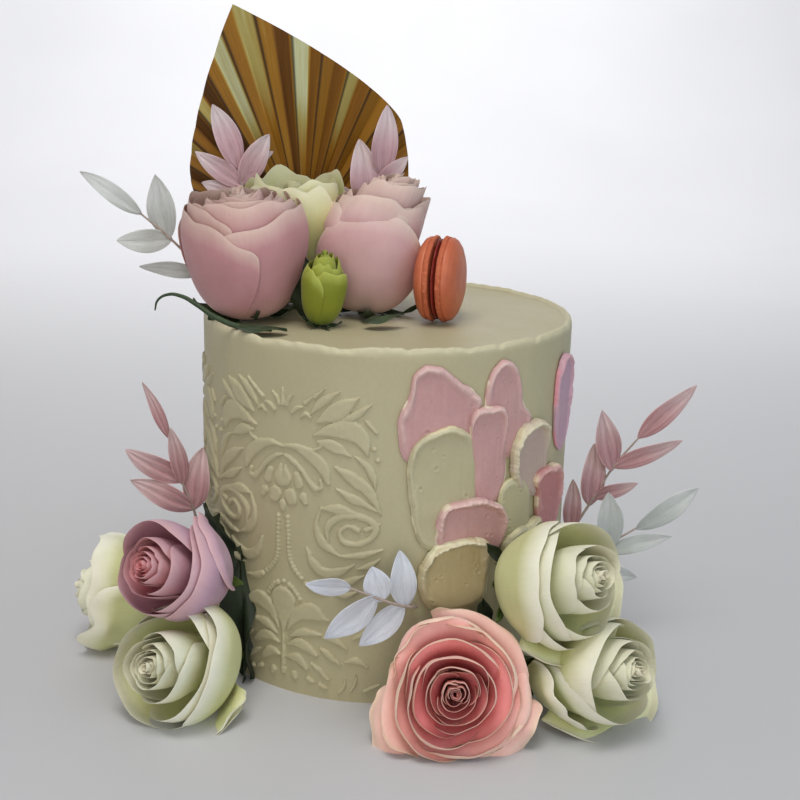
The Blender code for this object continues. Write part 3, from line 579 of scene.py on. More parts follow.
def dab_depth(points, line, widths, steps=7):
    """How far inside the edge of a tapering dab the points lie, below 0 outside it."""
    path = curve_through(line, steps)
    knots = curve_through(np.stack([np.linspace(0, 1, len(widths)), widths], -1), steps)
    half = np.maximum(np.interp(np.linspace(0, 1, len(path)), knots[:, 0], knots[:, 1]), 0.2)
    best = np.full(len(points), -9.0)
    for start, end, thin, thick in zip(path, path[1:], half, half[1:]):
        step = end - start
        part = np.clip(((points - start) @ step) / max(float(step @ step), 1e-9), 0, 1)
        gap = np.hypot(*(points - start - part[:, None] * step).T)
        best = np.maximum(best, thin + (thick - thin) * part - gap)
    return best


def damask(side, height):
    """The stencilled pattern's height, from 0 to about 1, at distances from a panel's middle line."""
    points = np.stack([np.abs(side), height], -1)
    total = np.zeros(len(points))
    for line, widths in DABS + [([spot, spot], (BEAD_RADIUS, BEAD_RADIUS)) for spot in BEADS]:
        spread = max(widths) + 2
        low, high = np.min(line, axis=0) - spread, np.max(line, axis=0) + spread
        near = np.all((points > low) & (points < high), axis=1)
        if near.any():
            depth = dab_depth(points[near], line, widths)
            pillow = 0.55 + 0.45 * np.sqrt(np.clip(depth / 1.6, 0, 1))
            total[near] = np.maximum(total[near], ease(depth, -0.25, 0.4) * pillow)
    return total


def cake_place(u, v):
    """The cake's skin from the middle of its base, up its wall, over the lip, to the middle of its top."""
    degrees = SEAM + 360.0 * u
    track = np.array([
        (0.0, 0.0, 0.0), (0.006, 60.0, 0.0), (0.012, CAKE_RADIUS - 1.2, 0.0), (0.018, CAKE_RADIUS, 1.0),
        (0.70, CAKE_RADIUS, CAKE_HEIGHT - 3.5), (0.74, CAKE_RADIUS - 0.1, CAKE_HEIGHT + 0.4),
        (0.765, CAKE_RADIUS - 0.7, CAKE_HEIGHT + 1.9), (0.785, CAKE_RADIUS - 1.9, CAKE_HEIGHT + 2.5),
        (0.805, CAKE_RADIUS - 3.1, CAKE_HEIGHT + 1.6), (0.83, CAKE_RADIUS - 4.6, CAKE_HEIGHT + 0.3),
        (0.85, CAKE_RADIUS - 7.5, CAKE_HEIGHT), (1.0, 0.0, CAKE_HEIGHT),
    ])
    radius = np.interp(v, track[:, 0], track[:, 1])
    height = np.interp(v, track[:, 0], track[:, 2])
    flat = on_wall(degrees, height)
    wall = ease(v, 0.018, 0.04) * (1 - ease(v, 0.68, 0.73))
    lip = ease(v, 0.71, 0.755) * (1 - ease(v, 0.81, 0.83))
    radius = radius + wall_waver(flat) * wall
    rag = ripple(flat, 7.0, 5.3) * 0.55 + ripple(flat, 2.6, 9.1) * 0.42 + ripple(flat, 1.5, 2.9) * 0.2
    radius = radius + rag * lip * 0.45 - lip * 0.35
    rise = (ripple(flat, 30.0, 2.2) * 0.8 + rag * 0.75) * lip
    for chip, width, depth in RIM_CHIPS:
        rise = rise - lip * depth * np.exp(-((((degrees - chip + 180) % 360) - 180) * ARC / width) ** 2)
    turn = np.radians(degrees)
    points = rows_of(radius * np.cos(turn), radius * np.sin(turn), height)
    swirl = ripple(points * (1, 1, 0), 34.0, 1.7) * 0.25 + ripple(points, 5.0, 4.4) * 0.05
    points[:, 2] += np.maximum(rise, -2.0 * lip) + swirl * ease(v, 0.83, 0.85)
    # The lip mark makes the rim's crest paler: partly painted highlight.
    return points, {"lip": lip * 0.8}


def wall_waver(flat):
    """How far the smoothed wall wavers from true at points on it."""
    return ripple(flat, 26.0) * 0.28 + ripple(flat * (1, 1, 0.35), 9.0, 3.1) * 0.10


def pattern_place(panel, first, last):
    """One panel of the raised pattern, its skirts sunk into the wall."""
    def place(u, v):
        side = first + (last - first) * u
        height = PATTERN_FOOT + (PATTERN_HEAD - PATTERN_FOOT) * v
        flat = on_wall(panel + side / ARC, height)
        grain = ripple(flat, 3.2, 6.1) * 0.10 + ripple(flat, 1.3, 2.7) * 0.05
        bleed = 0.35 * ripple(flat, 2.2, 8.8)
        depth = damask(side + bleed * 0.6, height + bleed)
        out = wall_waver(flat) + depth * (RELIEF + grain) - SKIRT * (1 - ease(depth, 0.0, 0.35))
        # The raised pattern is marked a little paler: painted highlight on what stands out.
        return on_wall(panel + side / ARC, height, out), {"lip": 0.12 * depth, "raised": depth}

    return place


def build_pattern():
    """The stencilled pattern on the front, the left and round the back; the wall by the strokes is plain."""
    for name, panel, first, last, spacing in PATTERN_PIECES:
        columns = int((last - first) / spacing)
        rows = int((PATTERN_HEAD - PATTERN_FOOT) / spacing)
        piece = draw(name, columns, rows, pattern_place(panel, first, last))
        only(piece)
        bpy.ops.object.mode_set(mode="EDIT")
        bpy.ops.mesh.select_all(action="DESELECT")
        bpy.ops.object.mode_set(mode="OBJECT")
        mesh = piece.data
        depth = np.zeros(len(mesh.vertices), np.float32)
        mesh.attributes["raised"].data.foreach_get("value", depth)
        corners = np.zeros(len(mesh.loops), np.int32)
        mesh.loops.foreach_get("vertex_index", corners)
        mesh.polygons.foreach_set("select", depth[corners].reshape(-1, 4).max(1) <= 0.0)
        bpy.ops.object.mode_set(mode="EDIT")
        bpy.ops.mesh.select_mode(type="FACE")
        bpy.ops.mesh.delete(type="FACE")
        bpy.ops.object.mode_set(mode="OBJECT")
        finish_mesh(piece, False, 80)
        settle(piece, "cream_buttercream", PAINTS["cream"], "cake_body")


def build_cake():
    """The one tier of buttercream."""
    cake = draw("cake_tier", 640, 140, cake_place, closed=True, angle=80)
    settle(cake, "cream_buttercream", PAINTS["cream"], "cake_body")


# Strokes of a palette knife on the wall, the first laid lowest in the pile: name, paint, angle and
# height of the middle, thickness of the face, height of the lip, hollow of the face, then the outline
# as (to the right, up, how much of the lip stands there)
STROKES = [
    ("stroke_pink_left", "pink", -76.2, 150, 1.3, 3.4, 0.2, [
        (-17.2, -14.9, 0.1), (-21.0, -5.6, 0.4), (-21.0, 6.7, 0.6), (-16.5, 18.8, 0.8), (-14.2, 27.8, 0.9),
        (-8.9, 32.5, 1.0), (-1.5, 31.3, 0.9), (6.3, 25.5, 0.8), (14.5, 19.5, 1.0), (20.0, 13.9, 0.9),
        (19.3, 2.8, 0.1), (13.9, -7.5, 0.0), (3.0, -14.3, 0.0), (-9.1, -16.7, 0.0)]),
    ("stroke_pink_middle", "pink", -54.5, 152, 1.4, 3.4, 0.2, [
        (-15.5, 8.2, 0.2), (-14.7, 17.4, 0.7), (-12.2, 24.8, 0.8), (-5.3, 30.7, 1.0), (2.8, 25.7, 0.8),
        (7.2, 16.0, 0.4), (9.6, 6.1, 0.3), (16.4, -3.2, 0.5), (12.4, -13.6, 0.1), (3.9, -20.0, 0.0),
        (-6.1, -18.2, 0.0), (-14.0, -6.0, 0.0)]),
    ("stroke_pink_right", "lilac", -23.5, 148, 2.0, 4.2, 0.3, [
        (-15.0, 12.0, 0.6), (-12.0, 24.0, 0.9), (-4.4, 28.6, 1.0), (7.0, 24.0, 1.0), (11.0, 14.0, 0.9),
        (10.0, 0.0, 0.8), (7.0, -12.0, 0.6), (-3.0, -24.0, 0.3), (-12.0, -17.0, 0.2), (-15.0, -3.0, 0.4)]),
    ("stroke_cream_left", "cream", -76.2, 115, 2.1, 5.0, 0.3, [
        (-16.2, 20.1, 0.5), (-13.4, 27.8, 0.8), (-5.0, 34.3, 1.0), (5.6, 36.7, 0.9), (13.7, 32.5, 0.5),
        (18.7, 22.3, 0.0), (20.1, 6.2, 0.0), (19.7, -9.8, 0.0), (12.5, -23.4, 0.0), (1.3, -26.9, 0.1),
        (-8.0, -24.6, 0.2), (-12.4, -14.7, 0.3), (-15.1, -0.3, 0.35), (-16.3, 10.7, 0.35)]),
    ("stroke_pink_centre", "pink", -62.6, 128, 2.7, 5.4, 0.3, [
        (-9.3, 25.4, 0.7), (-5.9, 31.8, 1.0), (1.3, 31.9, 1.0), (9.0, 30.3, 1.0), (11.7, 22.6, 0.6),
        (11.6, 10.0, 0.15), (12.8, -4.7, 0.1), (8.8, -16.9, 0.0), (1.9, -20.5, 0.0), (-4.3, -16.3, 0.0),
        (-6.6, -1.6, 0.1), (-8.5, 12.8, 0.15)]),
    ("stroke_cream_right", "mixed", -46.0, 125, 2.6, 7.6, 1.0, [
        (-13.1, 2.6, 0.9), (-12.1, 13.6, 1.0), (-4.0, 22.4, 1.0), (9.0, 22.2, 1.0), (15.0, 15.3, 0.7),
        (17.0, 4.1, 0.2), (16.4, -7.4, 0.1), (12.6, -17.6, 0.0), (2.2, -17.2, 0.0), (-10.0, -7.8, 0.5)]),
    ("stroke_cream_small", "cream", -51.0, 100, 3.0, 4.2, 0.3, [
        (-12.0, 9.6, 0.4), (-9.5, 17.9, 0.7), (-1.5, 20.2, 0.6), (8.9, 14.7, 0.3), (12.0, 3.5, 0.0),
        (11.8, -8.3, 0.0), (8.3, -17.2, 0.0), (-1.5, -14.1, 0.1), (-9.0, -5.7, 0.3)]),
    ("stroke_pink_edge", "rosy", -35.5, 99, 3.2, 6.6, 0.6, [
        (-14.0, 18.0, 0.8), (-4.0, 22.0, 1.0), (8.0, 20.0, 1.0), (15.0, 12.0, 0.9), (15.0, -2.0, 0.6),
        (12.0, -12.0, 0.4), (7.0, -19.0, 0.2), (0.0, -21.7, 0.1), (-6.0, -13.0, 0.3), (-10.0, -2.0, 0.3),
        (-11.0, 9.0, 0.5)]),
    ("stroke_pink_low", "pink", -66.6, 98, 3.4, 8.0, 1.6, [
        (-19.1, 0.1, 0.6), (-17.3, 10.2, 0.9), (-9.9, 15.3, 1.0), (3.3, 15.9, 1.0), (15.9, 10.5, 1.0),
        (20.3, 2.1, 0.7), (19.7, -9.0, 0.3), (14.1, -15.1, 0.0), (1.1, -14.7, 0.0), (-10.6, -12.1, 0.0),
        (-17.4, -8.1, 0.2)]),
    ("stroke_cream_edge", "cream", -49.0, 84, 4.2, 7.0, 0.6, [
        (-12.1, 1.9, 0.4), (-4.1, 8.0, 0.8), (6.0, 9.8, 1.0), (12.7, 11.1, 1.0), (13.8, 5.3, 0.6),
        (12.2, -2.7, 0.2), (4.9, -9.1, 0.0), (-4.3, -10.0, 0.0), (-10.9, -5.1, 0.1)]),
    # Its warm paint is painted shade: the face lies in the shadow of its lip.
    ("stroke_cream_low", "warm", -70.0, 73, 4.4, 9.6, 2.6, [
        (-21.2, 4.5, 0.6), (-17.2, 12.8, 0.9), (-12.1, 18.5, 1.0), (-3.3, 20.9, 1.0), (8.3, 20.6, 1.0),
        (14.5, 16.6, 0.8), (16.4, 8.0, 0.4), (16.5, -2.0, 0.1), (15.2, -13.2, 0.0), (6.5, -17.9, 0.0),
        (-8.4, -18.3, 0.0), (-17.0, -12.8, 0.1), (-20.1, -5.4, 0.3)]),
]


OUTLINE_STEPS = 12
# The rows of a dab's skin: its face ends at the first share and its outer edge at the second
FACE_END, EDGE_END = 0.88, 0.94
BUBBLES = 9
# The thinnest that a dab gets, and how deep its rim goes into the wall
THINNEST, SUNK = 0.35, 0.9


def stroke_place(stroke, seed):
    """The skin of one dab: a swept face inside a torn lip that was pushed up round part of its outline."""
    _, _, degrees, height, face, lip, hollow, outline = stroke
    loop = curve_through([*outline[-2:], *outline, *outline[:2]], OUTLINE_STEPS)
    loop = loop[2 * OUTLINE_STEPS:-OUTLINE_STEPS]
    reach = np.linalg.norm(np.diff(loop[:, :2], axis=0), axis=1)
    way = np.concatenate([[0], np.cumsum(reach)]) / reach.sum()

    def place(u, v):
        edge = np.stack([np.interp(u, way, loop[:, axis]) for axis in range(3)], -1)
        stands = np.clip(edge[:, 2], 0, 1)
        ring = rows_of(edge[:, 0], edge[:, 1], np.full_like(u, seed * 3.7))
        torn = 0.60 * ripple(ring, 4.6) + 0.30 * ripple(ring, 1.1, 5.0)
        share = np.where(v <= FACE_END, np.clip(v / FACE_END, 0, 1) ** 0.75, 1.0)
        share = np.where(v > EDGE_END, 1.0 - (v - EDGE_END) / (1 - EDGE_END), share)
        size = np.hypot(edge[:, 0], edge[:, 1])
        grown = 1 + torn * 0.9 * (0.3 + stands) / size
        x, z = edge[:, 0] * share * grown, edge[:, 1] * share * grown
        inward = (1 - share) * size
        width = 1.9 + 0.7 * ripple(ring, 6.0, 1.0)
        peak = 2.0 + 0.7 * ripple(ring, 5.0, 2.0)
        crest = np.exp(-(((inward - peak) / width) ** 2)) * stands
        crumbs = ripple(rows_of(edge[:, 0], edge[:, 1], share * 9), 0.9, 8.0)
        crest = crest * (0.88 + 0.26 * ripple(ring, 5.0, 4.0) + 0.12 * crumbs)
        spot = rows_of(x, z, np.full_like(x, seed * 11.3))
        smear = ripple(spot * (1, 0.08, 1), 1.4) * 0.10 + ripple(spot, 8.0, 2.0) * 0.28
        upper = ease(z, -20.0, 20.0)
        bowl = -hollow * np.cos(np.clip(share, 0, 1) * math.pi / 2) * (0.4 + 0.6 * upper)
        out = face + bowl + smear * ease(inward, 1.0, 5.0) + (lip - face) * crest
        out = out - (1 - stands) * face * 0.55 * np.exp(-((inward / 2.2) ** 2))
        chance = np.random.default_rng(seed)
        for _ in range(BUBBLES):
            spot_x, spot_z = chance.uniform(-0.75, 0.75, 2) * (abs(edge[:, 0]).max(), abs(edge[:, 1]).max())
            bubble = chance.uniform(0.4, 0.9)
            gap = np.hypot(x - spot_x, z - spot_z) / bubble
            pit = np.exp(-gap ** 2) * 0.7 - np.exp(-((gap - 1.6) ** 2)) * 0.22
            out = out - pit * bubble * ease(inward, 2.0, 4.0)
        out = np.maximum(out, THINNEST)
        out = np.where(v > FACE_END, out * (1 - 0.75 * (v - FACE_END) / (EDGE_END - FACE_END)), out)
        out = np.where(v > EDGE_END, -SUNK, out)
        rim = np.exp(-((inward / 1.0) ** 2)) * ease(ripple(ring, 5.0, 6.0), -0.3, 0.5)
        # The lip mark makes the crest paler: partly thin buttercream, partly painted highlight.
        marks = {"lip": np.clip(crest * 1.1, 0, 1) * 0.9, "edge": rim}
        return on_wall(degrees + x / ARC, height + z, out), marks

    return place


def build_strokes():
    """All the dabs on the right of the front."""
    for seed, stroke in enumerate(STROKES):
        name, paint = stroke[0], stroke[1]
        dab = draw(name + "_dab", 176, 66, stroke_place(stroke, seed + 1), closed=True, angle=75)
        slot = "cream_buttercream" if "cream" in name else "pink_buttercream"
        settle(dab, slot, PAINTS[paint], name)


# Roses: rings of petals about a rolled heart. A ring is: petals, its size as a share of the flower,
# its rim (out, up), half-width in degrees, how far the lip rolls out, wave, roundness of the tip, the
# slants of its petals in turn, and for some the angle where its first petal stands

HALF_OPEN = ((0.84, -0.02), (1.08, 0.46), [
    (3, 0.14, (0.07, 0.98), 88, 0.030, 0.006, 0.02, (0.0,)),
    (3, 0.19, (0.13, 1.00), 88, 0.040, 0.008, 0.02, (0.02,)),
    (3, 0.25, (0.20, 1.00), 88, 0.050, 0.010, 0.03, (0.02,)),
    (3, 0.33, (0.29, 1.00), 88, 0.060, 0.012, 0.04, (0.03,)),
    (3, 0.52, (0.45, 0.99), 90, 0.090, 0.020, 0.07, (0.04, 0.02)),
    (3, 0.88, (0.76, 0.93), 90, 0.130, 0.028, 0.11, (0.06, 0.03)),
])
OPEN = ((0.80, -0.06), (1.04, 0.52), [
    (3, 0.13, (0.07, 0.97), 88, 0.060, 0.010, 0.02, (0.0,)),
    (3, 0.18, (0.14, 0.98), 88, 0.075, 0.016, 0.03, (0.03,)),
    (3, 0.25, (0.23, 0.99), 88, 0.095, 0.024, 0.04, (0.04,)),
    (3, 0.35, (0.34, 0.98), 88, 0.120, 0.034, 0.06, (0.05, 0.02)),
    (3, 0.50, (0.46, 0.96), 88, 0.150, 0.046, 0.08, (0.05, 0.0)),
    (3, 0.68, (0.60, 0.90), 88, 0.180, 0.070, 0.10, (0.05, 0.06)),
    (4, 0.86, (0.76, 0.78), 74, 0.200, 0.110, 0.12, (0.05, 0.0)),
    (5, 0.96, (0.90, 0.60), 60, 0.190, 0.140, 0.12, (0.06, 0.0)),
])
CLOSED = ((1.00, -0.04), (1.32, 0.52), [
    (3, 0.24, (0.12, 0.92), 90, 0.04, 0.016, 0.0, (0.0,)),
    (3, 0.34, (0.22, 0.94), 90, 0.06, 0.020, 0.0, (0.02,)),
    (3, 0.46, (0.34, 0.95), 90, 0.09, 0.024, 0.0, (0.02,)),
    (3, 0.60, (0.48, 0.95), 90, 0.12, 0.028, 0.01, (0.02,)),
    (3, 0.76, (0.64, 0.94), 90, 0.14, 0.034, 0.02, (0.03,)),
    (3, 0.90, (0.80, 0.93), 90, 0.08, 0.044, 0.04, (0.05, 0.02), -62),
    (3, 1.00, (0.92, 0.89), 90, 0.06, 0.030, 0.06, (0.18, -0.14, 0.08), -160),
])
FLARED = ((1.00, -0.03), (1.30, 0.46), [
    (3, 0.20, (0.10, 0.95), 90, 0.04, 0.020, 0.0, (0.0,)),
    (3, 0.28, (0.20, 0.97), 90, 0.06, 0.028, 0.0, (0.02,)),
    (3, 0.38, (0.32, 0.98), 90, 0.08, 0.034, 0.01, (0.02,)),
    (3, 0.50, (0.46, 0.98), 90, 0.12, 0.040, 0.02, (0.02,)),
    (3, 0.64, (0.62, 0.96), 90, 0.16, 0.044, 0.03, (0.03,)),
    (3, 0.80, (0.76, 0.92), 90, 0.20, 0.046, 0.05, (0.04, 0.0), 20),
    (3, 0.88, (0.80, 0.86), 90, 0.12, 0.034, 0.08, (0.05, 0.0), -10),
])
DRAPED = ((0.90, -0.02), (1.14, 0.50), [
    (3, 0.30, (0.18, 0.86), 88, 0.06, 0.024, 0.02, (0.0,)),
    (3, 0.55, (0.44, 0.90), 88, 0.10, 0.034, 0.03, (0.03,)),
    (3, 0.85, (0.72, 0.97), 88, 0.14, 0.070, 0.06, (0.04, 0.02), -30),
    (3, 1.00, (0.90, 0.97), 80, 0.18, 0.090, 0.12, (0.06, 0.02), -90),
])
BUD = ((0.95, 0.02), (1.24, 0.58), [
    (3, 0.38, (0.08, 0.94), 88, 0.05, 0.020, 0.03, (0.0,)),
    (3, 0.60, (0.20, 0.96), 86, 0.09, 0.032, 0.05, (0.06,)),
    (3, 0.84, (0.36, 0.93), 84, 0.14, 0.044, 0.08, (0.14, 0.0)),
    (3, 1.00, (0.54, 0.84), 76, 0.16, 0.050, 0.12, (0.2, 0.05)),
])

# name, form, paint, slot, foot, the way the heart faces, radius, length, roll in degrees,
# how far the top leans (to the right, away from the camera) as shares of the radius, seed
ROSES = [
    ("rose_top_left", CLOSED, "deep_blush", "blush_petal", (-74, -23, 188.6), (-0.05, -0.04, 1.0), 29, 75,
     0, (-0.1, 0), 3),
    ("rose_top_right", FLARED, "blush", "blush_petal", (-13.5, -5, 188.8), (0.08, 0.03, 1.0), 26.5, 79, 0,
     (0.62, 0), 5),
    ("rose_top_back", DRAPED, "lime", "green_white_petal", (-52, 19, 188.5), (0.0, -0.06, 1.0), 25.5, 80, 0,
     (0.05, -0.1), 8),
    ("bud_top", BUD, "bud", "bud_green", (-36, -41, 188.6), (0.06, -0.12, 1.0), 11.5, 43, 20, (0, 0), 2),
    ("rose_left_pink", HALF_OPEN, "rose", "pink_petal", (-91, -74.5, 65), (-0.48, -0.78, 0.40), 25.5, 61,
     30, (0, 0), 11),
    ("rose_left_white", HALF_OPEN, "white", "green_white_petal", (-88, -84, 21.5), (-0.50, -0.80, 0.32), 31,
     60, 5, (0, 0), 12),
    ("rose_left_back", HALF_OPEN, "white", "green_white_petal", (-117, -26, 27), (-0.97, -0.02, 0.20), 27,
     56, 60, (0, 0), 13),
    ("rose_front_pink", OPEN, "open", "pink_petal", (32, -122, 25.5), (-0.06, -0.92, 0.40), 34, 46, 15,
     (0, 0), 14),
    ("rose_right_upper", HALF_OPEN, "white", "green_white_petal", (62, -93.5, 68), (0.60, -0.70, 0.38),
     28.5, 65, 75, (0, 0), 15),
    ("rose_right_lower", HALF_OPEN, "white", "green_white_petal", (81, -95, 24.5), (0.60, -0.74, 0.32), 28,
     67, 50, (0, 0), 16),
]
# Outer petals that stand where the photograph shows them: angle from level right (90 is upwards) in
# degrees, then size, rim, half-width, lip, wave, roundness and slant as in a ring
GUARDS = {
    "rose_top_right": [(-100, 1.08, (0.90, 0.74), 76, 0.03, 0.014, 0.24, 0.0)],
    "rose_right_upper": [(-58, 1.08, (1.14, 0.86), 76, 0.28, 0.03, 0.14, 0.0),
                         (-130, 1.04, (1.00, 0.74), 66, 0.14, 0.04, 0.20, 0.1),
                         (150, 1.06, (1.00, 0.82), 80, 0.08, 0.03, 0.14, 0.0)],
    "rose_right_lower": [(-65, 1.04, (1.10, 0.86), 76, 0.28, 0.04, 0.14, 0.0),
                         (-140, 1.06, (1.00, 0.66), 66, 0.14, 0.06, 0.16, 0.1)],
    "rose_left_white": [(-100, 1.05, (1.16, 0.72), 70, 0.22, 0.08, 0.14, 0.0),
                        (-60, 1.06, (1.10, 0.60), 48, 0.16, 0.08, 0.20, 0.0),
                        (15, 1.04, (0.94, 0.84), 80, 0.06, 0.04, 0.14, 0.1)],
    "rose_left_pink": [(0, 1.08, (0.90, 0.80), 86, 0.06, 0.02, 0.12, 0.05),
                       (42, 1.12, (0.92, 0.68), 50, 0.20, 0.02, 0.24, 0.0)],
    "rose_left_back": [(40, 1.06, (0.92, 1.00), 84, 0.20, 0.11, 0.12, 0.0),
                       (-50, 1.08, (0.98, 0.99), 80, 0.26, 0.12, 0.12, 0.0)],
    "rose_front_pink": [(-92, 0.98, (1.44, 0.40), 46, 0.18, 0.17, 0.12, 0.0),
                        (-50, 0.98, (1.20, 0.50), 46, 0.18, 0.16, 0.12, 0.0),
                        (-135, 0.98, (1.18, 0.50), 46, 0.18, 0.16, 0.12, 0.0)],
}
GOLDEN_TURN = math.radians(137.5)
# Petals lower than this lie pressed on the floor
PRESSED = 3.0
PETAL_THICKNESS = 0.34
FOOT_OUT, FOOT_UP = 0.08, 0.02
# How much further out one side of a petal's rim stands than its middle
SPIRAL = 0.035
# Where the rounded corner of a petal starts, as a share of its half-width
CORNER = 0.5
# How far the corners stand below the tip: at least, and more for a rounder petal
LEAST_DROP, DROP = 0.03, 0.9
# How far a lip turns over, in radians, and how much further its ends fall than its middle
LIP_TURN, LIP_FALL = 2.0, 1.05
# How far a leaning flower's stem stays straight, as a share of its length
STRAIGHT = 0.35
# Where the open rose is pushed in, which makes its heart heart-shaped
DENT = math.radians(75)


def petal_place(form, ring, slant, turn, inner, chance, radius, length, seed):
    """One petal: a share of the bowl of its ring, its tip rounded and its lip rolled back."""
    low, high, _ = form
    size, rim, half_width, lip, wave, rounding = ring[1:7]
    half = math.radians(half_width) * chance.uniform(0.94, 1.08)
    lip = lip * chance.uniform(0.5, 1.4)
    rise = chance.uniform(-0.015, 0.015)
    notch = chance.uniform(-0.4, 0.4)
    spill = 1 + chance.uniform(-0.06, 0.06)
    phase = chance.uniform(0, 20)

    def place(u, v):
        side = np.sin((u - 0.5) * math.pi)
        fall = np.abs(side * 0.5 + (0.5 if slant > 0 else -0.5)) ** 1.3
        corner = np.clip((np.abs(side) - CORNER) / (1 - CORNER), 0, 1)
        reach = 1 - rounding * np.abs(side) ** 2.4 - abs(slant) * fall
        drop = LEAST_DROP + DROP * rounding
        reach = reach * (1 - drop + drop * np.sqrt(1 - corner ** 2))
        ragged = ripple(rows_of(side * 5 + phase, phase, 0.0), 0.8)
        ragged = ragged + 0.3 * ripple(rows_of(side * 10 + phase, 0.0, phase), 0.8)
        reach = reach - 0.02 * np.exp(-(((side - notch) / 0.12) ** 2)) - 0.3 * wave * (0.6 + ragged)
        share = v * reach
        left = 1 - share
        foot, lower, upper, tip = left ** 3, 3 * share * left ** 2, 3 * share ** 2 * left, share ** 3
        out = foot * FOOT_OUT + lower * low[0] * size + upper * high[0] * size + tip * rim[0] * spill
        up = foot * FOOT_UP + lower * (low[1] + 0.10 * (1 - size)) + upper * high[1] + tip * (rim[1] + rise)
        width = half * (0.5 + 0.5 * np.sin(np.clip(share * 1.6, 0, 1) * math.pi / 2))
        angle = turn + side * width
        out = out * (1 + side * (0.035 * ease(share, 0.1, 0.5) + SPIRAL * ease(share, 0.5, 1.0)))
        rolled = ease(v, 0.60, 1.0)
        bend = rolled * LIP_TURN
        curl = lip * (1 - 0.65 * side ** 2)
        out = out + curl * np.sin(bend)
        up = up - (curl * (1 - np.cos(bend)) + LIP_FALL * lip * side ** 2 * rolled) * radius / length
        spot = rows_of(side * 2.4 + phase, v * 0.8, np.full_like(v, phase))
        out = out + wave * rolled * (ripple(spot, 0.55) + 0.4 * ripple(spot, 0.25))
        up = up + wave * 1.2 * rolled * (ripple(spot, 0.45, 3.3) + 0.4 * ripple(spot, 0.2, 1.3))
        out = out + 0.022 * ripple(spot, 1.1, 7.7) * ease(share, 0.2, 0.7) * size
        oval = 1 + 0.05 * np.sin(2 * angle + seed) + 0.035 * np.sin(3 * angle + seed * 2)
        if form is OPEN:
            oval = oval - 0.08 * np.cos(2 * angle + 0.5)
            oval = oval - 0.30 * inner * ease(np.cos(angle - DENT), 0.75, 1.0)
        out = out * oval
        points = rows_of(out * radius * np.cos(angle), out * radius * np.sin(angle), up * length)
        return points, {"along": v, "across": side, "inner": inner}

    return place


def heart_place(rim_up, turns, out_to, chance):
    """The rolled heart of a flower, as shares of its radius and length."""
    phase = chance.uniform(0, 6.28)

    def place(u, v):
        angle = phase + u * turns * 2 * math.pi
        out = 0.018 + out_to * u + 0.012 * ease(v, 0.6, 1.0)
        up = rim_up - 0.45 + 0.45 * v + 0.018 * np.sin(angle * 1.5 + phase) * v - 0.03 * (1 - u) * v
        marks = {"along": v * 0.96, "across": u, "inner": 1.0}
        return rows_of(out * np.cos(angle), out * np.sin(angle), up), marks

    return place


def mark_inside(item, centre_line, axis_point):
    """Mark which side of a petal looks to the heart, by the way its faces look."""
    mesh = item.data
    count = len(mesh.vertices)
    points, normals = np.zeros(count * 3), np.zeros(count * 3)
    mesh.vertices.foreach_get("co", points)
    mesh.vertices.foreach_get("normal", normals)
    points, normals = points.reshape(-1, 3), normals.reshape(-1, 3)
    spoke = points - axis_point
    spoke = spoke - (spoke @ centre_line)[:, None] * centre_line
    spoke /= np.maximum(np.linalg.norm(spoke, axis=1), 1e-9)[:, None]
    facing = -(spoke * normals).sum(1) + 0.6 * (normals @ centre_line)
    mark = mesh.attributes.new("inside", "FLOAT", "POINT")
    mark.data.foreach_set("value", ease(facing, 0.0, 0.35).astype(np.float32))


def build_rose(name, form, paint, slot, foot, way, radius, length, roll, lean, seed):
    """One flower in its place."""
    chance = np.random.default_rng(seed)
    axes = frame_of(way, math.radians(roll))
    foot = np.array(foot, float)
    rings = form[2]
    shift = np.array((lean[0], lean[1], 0.0)) * radius

    def placed(place, scale=(1.0, 1.0)):
        def moved(u, v):
            points, marks = place(u, v)
            points = points * (scale[0], scale[0], scale[1])
            height = np.clip(points[:, 2:] / length - STRAIGHT, 0, 1)
            points = foot + points @ axes + shift * height * 2 * height
            low = np.minimum(points[:, 2], PRESSED)
            lifted = PRESSED * np.exp((low - PRESSED) / PRESSED) - low
            points += np.outer(lifted, (axes[2][0] * 0.8, axes[2][1] * 0.8, 1.0))
            return points, marks
        return moved

    heart = heart_place(rings[0][2][1], 2.6, rings[0][2][0] * 0.85, chance)
    petals = [draw("heart", 46, 5, placed(heart, (radius, length)))]
    for number, ring in enumerate(rings):
        start = math.radians(ring[8]) if len(ring) > 8 else number * GOLDEN_TURN + chance.uniform(-0.2, 0.2)
        inner = 1 - (number + 1) / len(rings)
        for petal in range(ring[0]):
            turn = start + petal * math.tau / ring[0] + chance.uniform(-0.1, 0.1)
            slant = ring[7][petal % len(ring[7])]
            place = petal_place(form, ring, slant, turn, inner, chance, radius, length, seed)
            petals.append(draw("petal", 18, 12, placed(place)))
    for angle, *ring in GUARDS.get(name, []):
        turn = math.radians(angle - roll)
        place = petal_place(form, (1, *ring), ring[-1], turn, 0.0, chance, radius, length, seed)
        petals.append(draw("petal", 22, 14, placed(place)))
    flower = joined(name + "_petals", petals)
    thicken(flower, PETAL_THICKNESS)
    mark_inside(flower, axes[2], foot * MM)
    finish_mesh(flower, False, 80)
    settle(flower, slot, PAINTS[paint], name)


def build_roses():
    """All the flowers."""
    for rose in ROSES:
        build_rose(*rose)


# Leaves, stems and sepals


